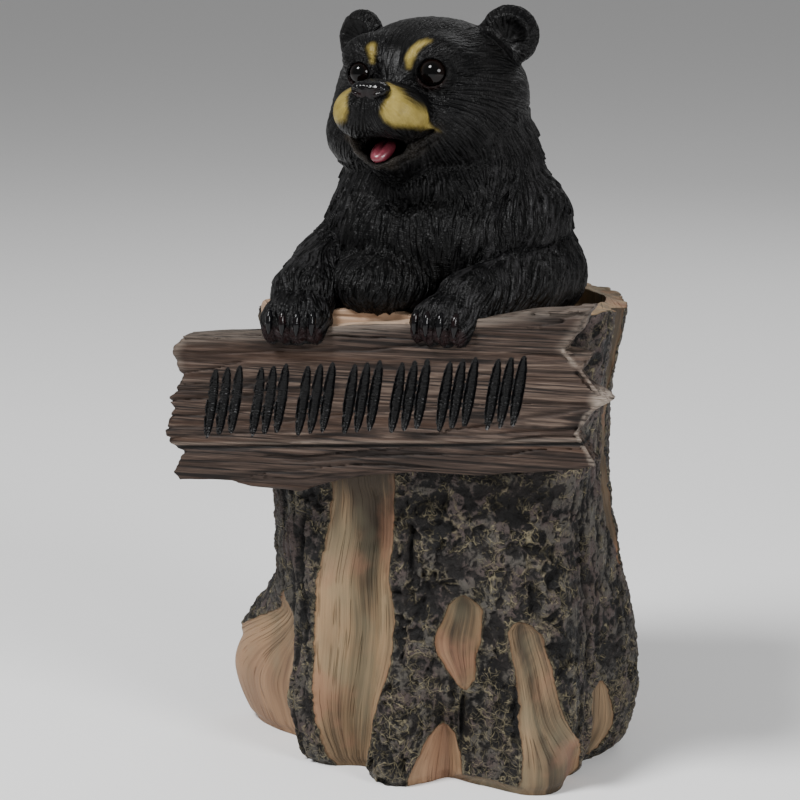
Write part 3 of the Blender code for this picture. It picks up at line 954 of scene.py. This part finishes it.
def build_stump(bark):
    """Each sector is a grid bent over the surface and closed through the stump's axis."""
    rows = np.arange(STUMP_ROWS + RIM_ROWS + 1, dtype=float)
    for name, start, end, columns in SECTORS:
        angles = np.linspace(start, end, columns + 1)
        angle, row = (v.ravel() for v in np.meshgrid(angles, rows, indexing="ij"))
        place, masks = stump_surface(angle, row)
        count = len(rows)
        grid = np.arange(len(angle)).reshape(columns + 1, count)
        quads = np.stack([grid[:-1, :-1], grid[1:, :-1], grid[1:, 1:], grid[:-1, 1:]], -1)
        quads = quads.reshape(-1, 4)
        hub = place.shape[1]
        top_height = place[2, grid[:, -1]].mean()
        place = np.concatenate([place, [[0, 0], [0, 0], [0, top_height]]], axis=1)
        masks = {key: np.append(values, values[:2] * 0) for key, values in masks.items()}
        faces = [list(q) for q in quads]
        for i in range(columns):
            faces.append([grid[i + 1, 0], grid[i, 0], hub])
            faces.append([grid[i, -1], grid[i + 1, -1], hub + 1])
        faces.append([hub, *grid[0], hub + 1])
        faces.append([hub + 1, *grid[-1][::-1], hub])
        mesh_piece(name, place, faces, bark, **masks)


# ------------------------------------------------------------------ plank

PLANK_ROTATION = rotation(0, -PLANK_TILT, 0) @ rotation(90, 0, 0)


def outline_distance(outline, u, v):
    """Signed distance to a closed outline, negative inside."""
    best = np.full(u.shape, 1e9, u.dtype)
    inside = np.zeros(u.shape, bool)
    for (ax, ay), (bx, by) in zip(outline, outline[1:] + outline[:1]):
        ex, ey = bx - ax, by - ay
        t = np.clip(((u - ax) * ex + (v - ay) * ey) / (ex * ex + ey * ey), 0, 1)
        best = np.minimum(best, (u - ax - ex * t) ** 2 + (v - ay - ey * t) ** 2)
        if ay != by:
            cross = (v < ay) != (v < by)
            inside ^= cross & (u < ax + (v - ay) * ex / ey)
    return np.where(inside, -1, 1) * np.sqrt(best)


def stroke_field(p):
    """Tapered claw strokes in slanted threes, sunk in the plank's face."""
    start, end = STROKE_BAND
    pitch = (end - start) / STROKE_GROUPS
    slant = rotation(0, 0, -STROKE_SLANT)
    strokes = []
    for group in range(STROKE_GROUPS):
        for stroke in range(STROKES_PER_GROUP):
            off = stroke - (STROKES_PER_GROUP - 1) / 2
            along = start + pitch * (group + 0.5) + STROKE_STEP * off
            centre = (along, STROKE_MIDDLE_V + 0.6 * off, 0)
            strokes.append(ellipsoid(p, centre, STROKE_RADII, slant))
    return merged(strokes)


def plank_grain(p):
    """Weathered grain along the board: height in mm."""
    u, v, w = p
    bend = np.stack([u, v + 6 * (noise(p, 42, 131) - 0.5) + 1.6 * (noise(p, 13, 132) - 0.5), w])
    broad = clouds(bend, 6, 133, (14, 1, 1), 2) - 0.5
    lines = ridged(noise(bend, 2.2, 136, (26, 1, 1))) - 0.5
    split = np.exp(-((noise(bend, 4.6, 137, (18, 1, 1)) - 0.5) / 0.06) ** 2)
    fine = noise(bend, 1.4, 138, (24, 1, 1)) - 0.5
    return 1.1 * broad + 0.7 * lines - 0.9 * split + 0.5 * fine


def seam_field(p):
    """The groove between the sign's two boards."""
    (au, av), (bu, bv) = SEAM
    return limb(p, (au, av, 0.3), (bu, bv, 0.2), 1.3, 0.9)


def torn_field(p):
    """Pale fibres standing up along the torn right end."""
    return chain(p, [((u, v, 0), 0.7) for u, v in TORN], 0.8)


def plank_field(points):
    """The sign: a rough outline with worn edges, grain, a seam and the strokes cut in."""
    p = local(points, PLANK_CENTRE, PLANK_ROTATION)
    u, v, w = p
    wobble = 1.3 * (clouds(p, 4.5, 141, (2.5, 1, 1), 2) - 0.5)
    wobble += 1.6 * (noise(p, 1.9, 144, (5, 1, 1)) - 0.5) * ease(np.abs(u + 2), 80, 90)
    side = outline_distance(PLANK_OUTLINE, u, v) + wobble
    half = PLANK_THICKNESS / 2
    thick = np.abs(w + half) - half
    d = -join(-side, -thick, 2.2)
    d = d - plank_grain(p) * ease(w, -9, -2)
    d = join(d, torn_field(p), 1.0)
    d = carve(d, seam_field(p), 0.5)
    near = np.flatnonzero((np.abs(v - STROKE_MIDDLE_V) < 20) & (w > -5))
    cut = np.full(d.shape, 9, d.dtype)
    cut[near] = stroke_field(p[:, near])
    return carve(d, cut, 0.5)


def build_plank(wood):
    points, faces = skin(plank_field, PLANK_LOW, PLANK_HIGH, PLANK_STEP)
    p = local(points, PLANK_CENTRE, PLANK_ROTATION)
    stroke = stroke_field(p)
    grain = plank_grain(p)
    tip = fade(np.hypot(p[0] - 96, p[1] + 4), 2, 8)
    seam = p[1] - np.interp(p[0], *zip(*SEAM))
    lip = np.exp(-((seam - 1.7) / 0.8) ** 2)
    torn = 0.6 * fade(torn_field(p) + 1.6 * (noise(p, 2.5, 145) - 0.5), 0, 0.9)
    top = ease(outline_distance(PLANK_OUTLINE, p[0], p[1]), -5, -1) * ease(p[1], 5, 25)
    masks = {
        "ink": fade(stroke, 0.0, 0.45) * ease(p[2], -3.5, -2.5),
        "seam": fade(np.abs(seam + 0.6 * (noise(p, 9, 146) - 0.5)), 0.3, 0.95),
        "grain": np.clip(0.5 + 0.42 * grain, 0, 1),
        "pale": np.clip(np.maximum(tip, torn) + 0.32 * top + 0.3 * lip, 0, 1),
        "light": 0.4 + 0.06 * ease(p[0], -10, 90) - 0.3 * ease(np.abs(p[1] - 1), 14, 28),
        "cream": ease(p[1], 27.5, 30) * ease(-p[2], 1.0, 2.2) * ease(np.abs(p[0] + 5), 34, 24),
    }
    mesh_piece("plank", points, faces, wood, **masks)


# ------------------------------------------------------------------ bear pieces

def grow_coat(points, slope, way, on_head, on_arms):
    """Height in mm of the long locks and the short ones between them."""
    zones = (on_head, on_arms, ~on_head & ~on_arms)
    height = 0
    for seed, tufts in COAT:
        coat = [(zone, *tuft) for zone, tuft in zip(zones, tufts)]
        height = height + grow_tufts(points, slope, way, coat, seed)
    return height


def bare_skin(points, p, mouth, toes):
    """1 where the coat lies flat: on the muzzle and round the eyes, mouth, toes and claws."""
    muzzle = length((p - column((MUZZLE_MIDDLE, -54, -8), p)) / column((22, 19, 15), p))
    bare = fade(muzzle, 0.95, 1.3)
    for centre, radius in EYES:
        bare = np.maximum(bare, fade(length(p - column(centre, p)) - radius, 2, 4.5))
    bare = np.maximum(bare, fade(mouth, 0.5, 3))
    bare = np.maximum(bare, 0.4 * fade(toes, 0, 3))
    claws = merged(claw_field(points, paw) for _, paw in ARMS)
    return np.maximum(bare, fade(claws, 0.8, 2.6))


def ear_cups(p):
    """1 in the hollow of each ear."""
    cups = np.zeros(p.shape[1])
    for centre, radius, splay in EARS:
        q = local(p, centre, rotation(0, 0, splay))
        cup = fade(np.hypot(q[0], q[2]) / radius, 0.6, 0.9)
        cups = np.maximum(cups, np.where(q[1] < 1, cup, 0) * (np.abs(q[1]) < 8))
    return cups


def chest_shade(points, arms):
    """1 on the chest between the arms, where painted shade under the head darkens the coat."""
    chest = ease(points[2], 212, 222) * fade(points[2], 256, 270) * ease(-points[1], 12, 28)
    return chest * fade(np.abs(points[0] + 3), 24, 38) * ease(arms, 0, 4)


def build_bear(fur):
    """The cub is meshed in one, so that its head, body and arms meet without a gap."""
    points, faces = skin(bear_field, BEAR_LOW, BEAR_HIGH, FUR_STEP)
    slope = field_and_slope(bear_field, points)[1]
    way = Flow(BEAR_LOW, BEAR_HIGH).at(points, slope)
    p = to_head(points)
    torso = torso_field(points)
    arms = merged(arm_field(points, stations, paw) for stations, paw in ARMS)
    mouth = mouth_field(points)
    toes = merged(toe_tip(points, paw) for _, paw in ARMS)
    lip = chain(p, [(place, 0) for place in LIP])
    on_arms = arms < torso
    on_head = ~on_arms & (np.minimum(head_field(points), ear_field(points)) < torso + 1)

    height = grow_coat(points, slope, way, on_head, on_arms)
    strand = strands(points, way)
    hair = 1 - 0.9 * bare_skin(points, p, mouth, toes)
    folds = 0.22 * np.cos(2 * math.pi * lip / 2.3) * fade(lip, 2.5, 7) * fade(mouth, 1.5, 0)
    moved = points + slope * (hair * (height - 0.5 + 0.5 * (strand - 0.5)) + folds)

    cups = ear_cups(p)
    bridge = fade(length(p - column((3, -33, 12), p)), 8, 14)
    crown = ease(points[2], 256, 280)
    # Painted shade, which dims the brushed crests: on the chest under the head, on the crown where
    # the lamps light the head most, in the ear hollows and on the bridge between the eyes.
    painted_shade = np.maximum.reduce([chest_shade(points, arms), 0.6 * crown, 0.8 * cups, 0.75 * bridge])
    tan = muzzle_paint(p, strand)
    masks = {
        "lay_x": way[0],
        "lay_y": way[1],
        "lay_z": way[2],
        "raised": np.clip(height / 1.3, 0, 1),
        "tan": tan,
        "calm": np.maximum.reduce([0.7 * tan, 0.6 * cups, 0.7 * bridge]),
        # painted shade, at least 0.25 all over
        "painted_shade": np.maximum(painted_shade, 0.25),
        "shag": 1 - 0.8 * crown,
        "mouth": fade(mouth, -0.2, 0.8),
        "lip": fade(lip, 2.6, 6.5) * (0.3 + 0.7 * ease(p[0], 13, 3)),
        "lid": lid_paint(p),
        "pad": fade(toes, -0.5, 2.0),
    }
    normals = corner_normals(moved, faces)
    middle = points[:, faces].mean(axis=2)
    group = np.where(middle[2] > NECK_HEIGHT, 0, np.where(on_arms[faces[:, 0]], 2, 1))
    for index, name in enumerate(("bear_head", "bear_body", "bear_arms")):
        place, kept, used = part_of(moved, faces, group == index)
        mesh_piece(name, place, kept, fur, normals[used], **{k: v[used] for k, v in masks.items()})


def toe_tip(points, paw):
    """Distance to the bare undersides of the toes."""
    forward = paw_axes(paw)[1]
    tips = [toe + forward * 5 + (0, 0, -3.5) for toe in toe_places(paw)]
    return merged(length(points - column(tip, points)) for tip in tips) - 3.4


def muzzle_paint(p, strand):
    """Tan on both sides of the muzzle and over the eyes, its edge broken up by the hair."""
    frayed = 0.8 * (strand - 0.5)
    x = np.abs(p[0] - MUZZLE_MIDDLE)
    flank = -38.2 - 0.85 * (p[2] + 13.3) - p[1]
    patch = np.minimum(-outline_distance(PATCH, x, p[2]), flank)
    brow = np.full(x.shape, -9.0)
    for stations in BROWS:
        for (ax, az, ar), (bx, bz, br) in zip(stations, stations[1:]):
            ex, ez = bx - ax, bz - az
            t = ((p[0] - ax) * ex + (p[2] - az) * ez) / (ex ** 2 + ez ** 2)
            t = np.clip(t, 0, 1)
            gap = np.hypot(p[0] - ax - ex * t, p[2] - az - ez * t)
            brow = np.maximum(brow, ar + (br - ar) * t - gap)
    brow = np.where(p[1] < -20, brow, -9)
    return ease(np.maximum(patch, brow) + frayed, -1.4, 1.6)


def lid_paint(p):
    """The reddish rim under each eye."""
    paint = np.zeros(p.shape[1])
    for (x, y, z), radius in EYES:
        ring = np.hypot(p[0] - x * 1.02, p[2] - z)
        band = np.exp(-((ring - radius + 0.6) / 0.9) ** 2) * ease(z - 1 - p[2], 0, 3)
        paint = np.maximum(paint, np.where(np.abs(p[1] - y) < 9, band, 0))
    return paint


def small_skin(field, middle, reach):
    """A finely meshed field that lies within a reach of its middle."""
    return skin(field, middle - reach, middle + reach, DETAIL_STEP)


def eye_field(points, eye):
    """An eyeball with a bulging cornea."""
    (x, y, z), radius = eye
    p = to_head(points)
    ball = ellipsoid(p, (x, y, z), (radius,) * 3)
    cornea = ellipsoid(p, (x * 1.03, y - 0.4 * radius, z), (0.69 * radius,) * 3)
    return join(ball, cornea, 1.5)


def build_eyes(gloss):
    for name, eye in zip(("left_eye", "right_eye"), EYES):
        (x, y, z), radius = eye
        points, faces = small_skin(lambda spots: eye_field(spots, eye), from_head((x, y, z)), 10)
        p = to_head(points)
        iris = np.hypot(p[0] - x * 1.03 - 0.7, p[2] - z - 0.7) / (0.74 * radius)
        mesh_piece(name, points, faces, gloss, iris=iris)


def nose_field(points):
    p = to_head(points)
    x, y, z = NOSE
    d = ellipsoid(p, (x, y + 1.6, z + 0.8), (8.4, 5.6, 3.4))
    d = join(d, ellipsoid(p, (x, y + 2.6, z - 2.4), (6.2, 4.6, 4.2)), 4)
    for side in (-1, 1):
        d = join(d, ellipsoid(p, (x + side * 4.4, y - 0.6, z + 0.2), (3.4, 3.4, 2.8)), 2)
        start = (x + side * 2.6, y - 4.6, z - 1.6)
        end = (x + side * 6.4, y - 3.2, z - 0.4)
        d = carve(d, limb(p, start, end, 1.3, 0.9), 0.8)
    return carve(d, limb(p, (x, y - 5, z + 0.5), (x, y - 2.4, z - 6), 0.5, 0.8), 1.2)


def build_nose(gloss):
    points, faces = small_skin(nose_field, from_head(NOSE), 13)
    slope = field_and_slope(nose_field, points)[1]
    first, second, _ = cells(points, 1.5, 151)
    points = points + slope * 0.22 * ease(second - first, 0, 0.4)
    mesh_piece("nose", points, faces, gloss)


def tongue_field(points):
    p = to_head(points)
    d = ellipsoid(p, (1.0, -43.2, -25.3), (4.8, 8.4, 3.3), rotation(35, 0, 0))
    return carve(d, limb(p, (1.4, -50, -26.4), (1.0, -40, -19.2), 0.4, 0.7), 1.6)


def build_tongue(pink):
    points, faces = small_skin(tongue_field, from_head((1, -43, -26)), 14)
    # deep is 1 at the back of the tongue, inside the mouth, where shade is painted
    mesh_piece("tongue", points, faces, pink, deep=ease(to_head(points)[1], -50, -42))


def claw_field(points, paw):
    """A curved claw lying on each toe."""
    forward = paw_axes(paw)[1]
    lean = rotation(0, 0, paw[1]) @ rotation(-16, 0, 0)
    claws = []
    for toe in toe_places(paw):
        root = ellipsoid(points, toe + forward * 4.4 + (0, 0, 2.6), (1.75, 2.7, 4.8), lean)
        bend = toe + forward * 5.4 + (0, 0, 1.5)
        tip = toe + forward * 6.1 + (0, 0, -2.8)
        claws.append(join(root, limb(points, bend, tip, 1.3, 0.5), 1.0))
    return merged(claws)


def build_claws(gloss):
    for name, paw in (("left_claws", LEFT_PAW), ("right_claws", RIGHT_PAW)):
        middle = paw_axes(paw)[0]
        points, faces = small_skin(lambda spots: claw_field(spots, paw), middle, 24)
        mesh_piece(name, points, faces, gloss)


# ------------------------------------------------------------------ materials

class Value:
    """A node's output, which can be added, taken away and multiplied."""

    def __init__(self, paint, socket):
        self.paint = paint
        self.socket = socket

    def __add__(self, other):
        return self.paint.math("ADD", self, other)

    def __radd__(self, other):
        return self.paint.math("ADD", other, self)

    def __sub__(self, other):
        return self.paint.math("SUBTRACT", self, other)

    def __rsub__(self, other):
        return self.paint.math("SUBTRACT", other, self)

    def __mul__(self, other):
        return self.paint.math("MULTIPLY", self, other)


class Paint:
    """Shorthand for building one material's nodes."""

    def __init__(self, name, roughness=0.5, specular=0.5):
        self.material = bpy.data.materials.new(name)
        self.material.use_nodes = True
        self.tree = self.material.node_tree
        self.shader = self.tree.nodes["Principled BSDF"]
        self.shader.inputs["Roughness"].default_value = roughness
        self.shader.inputs["Specular IOR Level"].default_value = specular
        self.place = self.node("TexCoord", "Object", {})
        self.skew = self.stretched((1, 1, 1), SKEW)

    def put(self, socket, value):
        """Links a value to a node's input, or sets the input to a number."""
        if isinstance(value, Value):
            self.tree.links.new(value.socket, socket)
        else:
            socket.default_value = value

    def node(self, kind, output, inputs, **settings):
        """One output of a new node, its inputs filled or linked by name or number."""
        node = self.tree.nodes.new("ShaderNode" + kind)
        for key, value in settings.items():
            setattr(node, key, value)
        for key, value in inputs.items():
            self.put(node.inputs[key], value)
        return Value(self, node.outputs[output])

    def mask(self, name):
        """One of the meshes' attributes."""
        return self.node("Attribute", "Fac", {}, attribute_name=name)

    def math(self, operation, a, b=0.0, clamp=False):
        return self.node("Math", 0, {0: a, 1: b}, operation=operation, use_clamp=clamp)

    def most(self, a, b):
        return self.math("MAXIMUM", a, b)

    def combine(self, x, y, z):
        return self.node("CombineXYZ", 0, {0: x, 1: y, 2: z})

    def axis(self, name):
        return self.node("SeparateXYZ", name, {0: self.place})

    def stretched(self, scale, turn=(0, 0, 0), vector=None):
        """A vector, object space if none is given, turned and scaled."""
        inputs = {"Scale": scale, "Rotation": turn, "Vector": vector or self.place}
        return self.node("Mapping", 0, inputs)

    def moved(self, way, distance):
        """Object space moved along a vector."""
        inputs = {0: way, 1: (distance,) * 3, 2: self.skew}
        return self.node("VectorMath", 0, inputs, operation="MULTIPLY_ADD")

    def warped(self, distance, scale):
        """Object space pushed about by noise, for lines that wander."""
        inputs = {"Scale": scale, "Detail": 2, "Vector": self.skew}
        return self.moved(self.node("TexNoise", "Color", inputs), distance)

    def noise(self, scale, detail=3, vector=None, roughness=0.55, distortion=0.0):
        inputs = {"Scale": scale, "Detail": detail, "Roughness": roughness,
                  "Distortion": distortion, "Vector": vector or self.skew}
        return self.node("TexNoise", "Fac", inputs)

    def smeared(self, way, scale, reach, count):
        """Noise averaged over a short run along a direction, which draws it out into strands."""
        total = 0.0
        way = self.stretched((1, 1, 1), SKEW, way)
        for step in np.linspace(-reach / 2, reach / 2, count):
            total = self.noise(scale, 0, self.moved(way, step * MM)) + total
        return self.math("DIVIDE", total, float(count))

    def crackle(self, scale, vector):
        """Distance to the nearest edge between scattered cells."""
        inputs = {"Scale": scale, "Vector": vector}
        return self.node("TexVoronoi", "Distance", inputs, feature="DISTANCE_TO_EDGE")

    def ramp(self, value, low, high):
        """Smooth step from 0 at low to 1 at high."""
        inputs = {"Value": value, "From Min": low, "From Max": high}
        return self.node("MapRange", "Result", inputs, interpolation_type="SMOOTHSTEP")

    def patches(self, scale, low, high, detail=3):
        """Noise sharpened into patches."""
        return self.ramp(self.noise(scale, detail), low, high)

    def mix(self, factor, a, b):
        """From colour a to colour b, each a node's output or three numbers."""
        a, b = (v if isinstance(v, Value) else (*v, 1) for v in (a, b))
        return self.node("Mix", 2, {0: factor, 6: a, 7: b}, data_type="RGBA")

    def tint(self, colour, where, strength, other):
        """A colour with some of another laid over it where a mask says so."""
        return self.mix(where * strength, colour, other)

    def blend(self, factor, a, b):
        return self.node("Mix", 0, {0: factor, 2: a, 3: b}, data_type="FLOAT")

    def bump(self, height, distance, strength=1.0):
        inputs = {"Height": height, "Distance": distance * MM, "Strength": strength}
        return self.node("Bump", 0, inputs)

    def finish(self, colour, roughness=None, normal=None):
        """Fills the shader and hands over the material."""
        for key, value in (("Base Color", colour), ("Roughness", roughness), ("Normal", normal)):
            if value is not None:
                self.put(self.shader.inputs[key], value)
        return self.material


def fur_material():
    paint = Paint("fur", specular=0.12)
    lay = paint.combine(paint.mask("lay_x"), paint.mask("lay_y"), paint.mask("lay_z"))
    strand = paint.smeared(lay, 1000, 7, 9)
    locks = paint.smeared(lay, 430, 11, 7) - 0.5
    strand = strand + locks * (paint.mask("shag") * 0.9)
    patchy = paint.noise(45, 3)
    black = paint.ramp(patchy, 0.35, 0.7)
    black = paint.mix(black, (0.0013, 0.0013, 0.0015), (0.0040, 0.0038, 0.0037))
    # Crests: grey dry-brush on the strand crests and raised tufts, partly a painted highlight where
    # light would catch the strands; painted shade dims them.
    crest = paint.ramp(strand, 0.50, 0.57) + paint.mask("raised") * 0.3
    crest = paint.math("MULTIPLY", crest, paint.ramp(patchy, 0.25, 0.75), clamp=True)
    crest = crest * (1.0 - paint.mask("painted_shade"))
    colour = paint.mix(crest, black, (0.021, 0.0205, 0.0215))
    # painted shade: darker tan in the grooves between strands
    groove_shade = paint.ramp(strand, 0.52, 0.46)
    mottle = paint.patches(150, 0.35, 0.7)
    tan = paint.mix(mottle, (0.19, 0.144, 0.036), (0.27, 0.21, 0.058))
    tan = paint.tint(tan, groove_shade, 0.15, (0.17, 0.12, 0.035))
    # painted shade: near black in the grooves between strands
    colour = paint.mix(paint.ramp(strand, 0.495, 0.445), colour, (0.0006, 0.0006, 0.0007))
    colour = paint.mix(paint.mask("tan"), colour, tan)
    lip = paint.mask("lip") * paint.patches(110, 0.25, 0.75)
    colour = paint.tint(colour, lip, 0.8, (0.045, 0.036, 0.028))
    colour = paint.mix(paint.mask("mouth"), colour, (0.003, 0.0022, 0.0022))
    colour = paint.tint(colour, paint.mask("lid"), 0.5, (0.014, 0.005, 0.004))
    colour = paint.tint(colour, paint.mask("pad"), 0.4, (0.022, 0.007, 0.007))
    rough = 0.34 + paint.patches(240, 0.1, 0.9, 2) * 0.18
    normal = paint.bump(strand * (1.0 - paint.mask("calm")), 3.5)
    return paint.finish(colour, rough, normal)


def gloss_material():
    paint = Paint("gloss_black", 0.12, specular=0.22)
    rubbed = paint.patches(90, 0.5, 0.8, 2)
    tint = paint.mix(rubbed, (0.003, 0.003, 0.0035), (0.010, 0.003, 0.003))
    return paint.finish(tint, None, paint.bump(paint.noise(420, 3), 0.4, 0.5))


def eye_material():
    paint = Paint("eye", 0.06, specular=0.2)
    ring = paint.mask("iris")
    colour = paint.mix(paint.ramp(ring, 0.5, 0.7), (0.001, 0.001, 0.001), (0.0035, 0.0017, 0.0013))
    colour = paint.mix(paint.ramp(ring, 0.9, 1.05), colour, (0.002, 0.0015, 0.0015))
    return paint.finish(colour)


def tongue_material():
    paint = Paint("tongue", 0.3)
    mottle = paint.patches(160, 0.3, 0.75)
    colour = paint.mix(mottle, (0.085, 0.010, 0.018), (0.21, 0.040, 0.058))
    # painted shade at the back of the tongue, inside the mouth
    colour = paint.tint(colour, paint.mask("deep"), 0.75, (0.05, 0.008, 0.012))
    paint.shader.inputs["Coat Weight"].default_value = 0.3
    paint.shader.inputs["Coat Roughness"].default_value = 0.2
    return paint.finish(colour, None, paint.bump(paint.noise(700, 2), 0.2, 0.4))


def bark_paint(paint, warp, patch, crust, inside):
    """Dark bark, worn lighter on its ridges, with pale broken lines and black pits."""
    dark = paint.mix(paint.ramp(patch, 0.36, 0.66), (0.0035, 0.0031, 0.003), (0.013, 0.0105, 0.0095))
    worn = paint.mask("ridge") * 0.9 + crust * 0.9
    flake = paint.mix(paint.patches(75, 0.4, 0.6), (0.068, 0.050, 0.046), (0.073, 0.066, 0.056))
    bark = paint.tint(dark, paint.ramp(worn, 0.98, 1.24), 0.85, flake)
    lines = 1.0 - paint.ramp(paint.crackle(150, warp), 0.012, 0.055)
    small = 1.0 - paint.ramp(paint.crackle(330, warp), 0.02, 0.11)
    lines = paint.most(lines, small * 0.4)
    low = paint.ramp(paint.axis("Z"), 0.07, 0.02) * 0.09
    lines = lines * paint.ramp(paint.noise(115, 4, roughness=0.6) + low, 0.50, 0.59)
    edge = paint.ramp(inside, -0.7, 0.3) * 0.7
    pale = paint.ramp(paint.mask("pale"), 0.35, 0.9) * 0.8
    lines = paint.most(lines, paint.most(pale, edge) * paint.ramp(crust, 0.38, 0.6))
    bark = paint.tint(bark, lines, 0.66, (0.24, 0.205, 0.125))
    pits = paint.most(paint.mask("fissure"), paint.ramp(crust, 0.47, 0.37))
    return paint.mix(pits, bark, (0.004, 0.0035, 0.0035)), crust + lines * 0.5


def wood_paint(paint, inside):
    """Split wood, washed brown in streaks, with stains of pink, moss and rust; painted shade under
    the plank, painted light on the strip under the rim, painted shadow inside the bark's edge.
    """
    grain = paint.combine(paint.mask("lane"), paint.axis("Z"), 0.0)
    streak = paint.noise(1.0, 5, paint.stretched((1.3, 22, 1), vector=grain), 0.62)
    # brown stain, with painted shade under the plank
    amount = paint.mask("stain_and_shade") * 0.75 + streak * 0.42
    wood = paint.mix(paint.ramp(amount, 0.24, 0.88), (0.30, 0.198, 0.11), (0.040, 0.029, 0.018))
    groove = paint.noise(1.0, 2, paint.stretched((0.27, 6, 1), vector=grain), 0.5)
    groove = paint.math("ABSOLUTE", groove - 0.5)
    groove = paint.ramp(groove, 0.016, 0.0) * paint.patches(60, 0.4, 0.55, 2)
    wood = paint.tint(wood, groove, 0.45, (0.055, 0.032, 0.018))
    pink = paint.most(paint.patches(38, 0.50, 0.68), paint.mask("pink"))
    wood = paint.tint(wood, pink, 0.45, (0.25, 0.12, 0.075))
    moss = paint.noise(30, 3, paint.stretched((1, 1, 0.6), (0.4, 0.3, 1.2)))
    wood = paint.tint(wood, paint.ramp(moss, 0.50, 0.68), 0.45, (0.15, 0.14, 0.09))
    rust = paint.mask("rim") * paint.patches(90, 0.55, 0.72)
    wood = paint.tint(wood, rust, 0.6, (0.24, 0.10, 0.03))
    # pale wood on the splinter, and painted light on the strip under the rim
    wood = paint.tint(wood, paint.mask("pale_and_painted_light"), 0.8, (0.40, 0.27, 0.185))
    # painted shadow just inside the bark's edge round each window
    wood = paint.tint(wood, paint.ramp(inside, 1.9, 0.7), 0.45, (0.10, 0.045, 0.018))
    return wood, (streak - groove) * 0.28


def bark_material():
    paint = Paint("bark_and_wood", specular=0.22)
    warp = paint.warped(0.008, 110)
    patch = paint.noise(42, 4)
    crust = paint.noise(520, 5, warp, 0.65)
    inside = paint.mask("inside") + paint.noise(330, 3) * 1.4
    bare = paint.ramp(inside, 0.5, 0.9)
    bark, bark_height = bark_paint(paint, warp, patch, crust, inside)
    wood, wood_height = wood_paint(paint, inside)
    normal = paint.bump(paint.blend(bare, bark_height, wood_height), 1.7)
    return paint.finish(paint.mix(bare, bark, wood), 0.42 + patch * 0.25, normal)


def plank_material():
    paint = Paint("plank_wood", specular=0.2)
    tilt = math.radians(PLANK_TILT)
    along = paint.stretched((0.03, 0.35, 1), (0, tilt, 0))
    fine = paint.noise(900, 4, along, 0.7)
    broad = paint.noise(120, 3, along, 0.6, 0.4)
    rings = paint.math("PINGPONG", paint.noise(55, 3, along, 0.5) * 40.0, 1.0)
    dark_line = paint.ramp(rings, 0.5, 0.1) * paint.patches(60, 0.25, 0.6, 2)
    finer = paint.noise(2100, 2, along, 0.6)
    light = paint.mask("light")
    high = paint.mask("grain") * 0.3 + fine * 0.75 + finer * 0.35
    high = high - dark_line * 0.28 + (light - 0.45) * 0.25
    colour = paint.mix(paint.ramp(high, 0.40, 0.95), (0.007, 0.0042, 0.0032), (0.068, 0.045, 0.034))
    colour = paint.tint(colour, paint.ramp(broad, 0.48, 0.72), 0.6, (0.065, 0.033, 0.019))
    bright = paint.ramp(high, 0.66, 0.92) * (light * 1.2)
    colour = paint.mix(bright, colour, (0.18, 0.135, 0.105))
    pale = paint.mask("pale") * paint.ramp(fine, 0.3, 0.6)
    colour = paint.tint(colour, pale, 0.85, (0.28, 0.235, 0.195))
    cream = paint.mask("cream") * paint.ramp(fine, 0.2, 0.5)
    colour = paint.tint(colour, cream, 0.9, (0.42, 0.30, 0.21))
    colour = paint.mix(paint.mask("seam"), colour, (0.0015, 0.0012, 0.001))
    ink = paint.ramp(paint.mask("ink"), 0.35, 0.65)
    colour = paint.mix(ink, colour, (0.0015, 0.0015, 0.0018))
    return paint.finish(colour, 0.6 - ink * 0.34, paint.bump(high, 0.7, 0.7))


# ------------------------------------------------------------------ stage

def aim(name, data, place, back):
    """Adds a camera or a lamp that looks away from the way its back is turned."""
    item = bpy.data.objects.new(name, data)
    item.location = place
    item.rotation_euler = back.to_track_quat("Z", "Y").to_euler()
    bpy.context.scene.collection.objects.link(item)
    return item


def place_camera():
    turn = math.radians(CAMERA_TURN)
    rise = math.radians(CAMERA_RISE)
    level = math.cos(rise)
    back = Vector((math.sin(turn) * level, -math.cos(turn) * level, math.sin(rise)))
    data = bpy.data.cameras.new("camera")
    data.sensor_width = SENSOR_WIDTH
    data.lens = LENS
    place = Vector(CAMERA_TARGET) + CAMERA_DISTANCE * back
    bpy.context.scene.camera = aim("camera", data, place, back)


def place_lights():
    world = bpy.data.worlds.new("studio")
    world.use_nodes = True
    background = world.node_tree.nodes["Background"]
    background.inputs["Color"].default_value = (1, 1, 1, 1)
    background.inputs["Strength"].default_value = AMBIENT
    bpy.context.scene.world = world
    for name, place, size, power in LAMPS:
        light = bpy.data.lights.new(name, "AREA")
        light.shape = "DISK"
        light.size = size
        light.energy = power
        aim(name, light, place, Vector(place) - Vector(LAMP_TARGET))


def place_floor():
    bpy.ops.mesh.primitive_plane_add(size=30, location=(0, 0, 0))
    floor = bpy.context.object
    floor.name = "floor"
    material = bpy.data.materials.new("floor")
    material.use_nodes = True
    shader = material.node_tree.nodes["Principled BSDF"]
    shader.inputs["Base Color"].default_value = FLOOR_COLOUR
    shader.inputs["Roughness"].default_value = FLOOR_ROUGHNESS
    floor.data.materials.append(material)


def build():
    gloss = gloss_material()
    build_bear(fur_material())
    build_eyes(eye_material())
    build_nose(gloss)
    build_tongue(tongue_material())
    build_claws(gloss)
    build_stump(bark_material())
    build_plank(plank_material())


place_camera()
place_lights()
place_floor()
build()
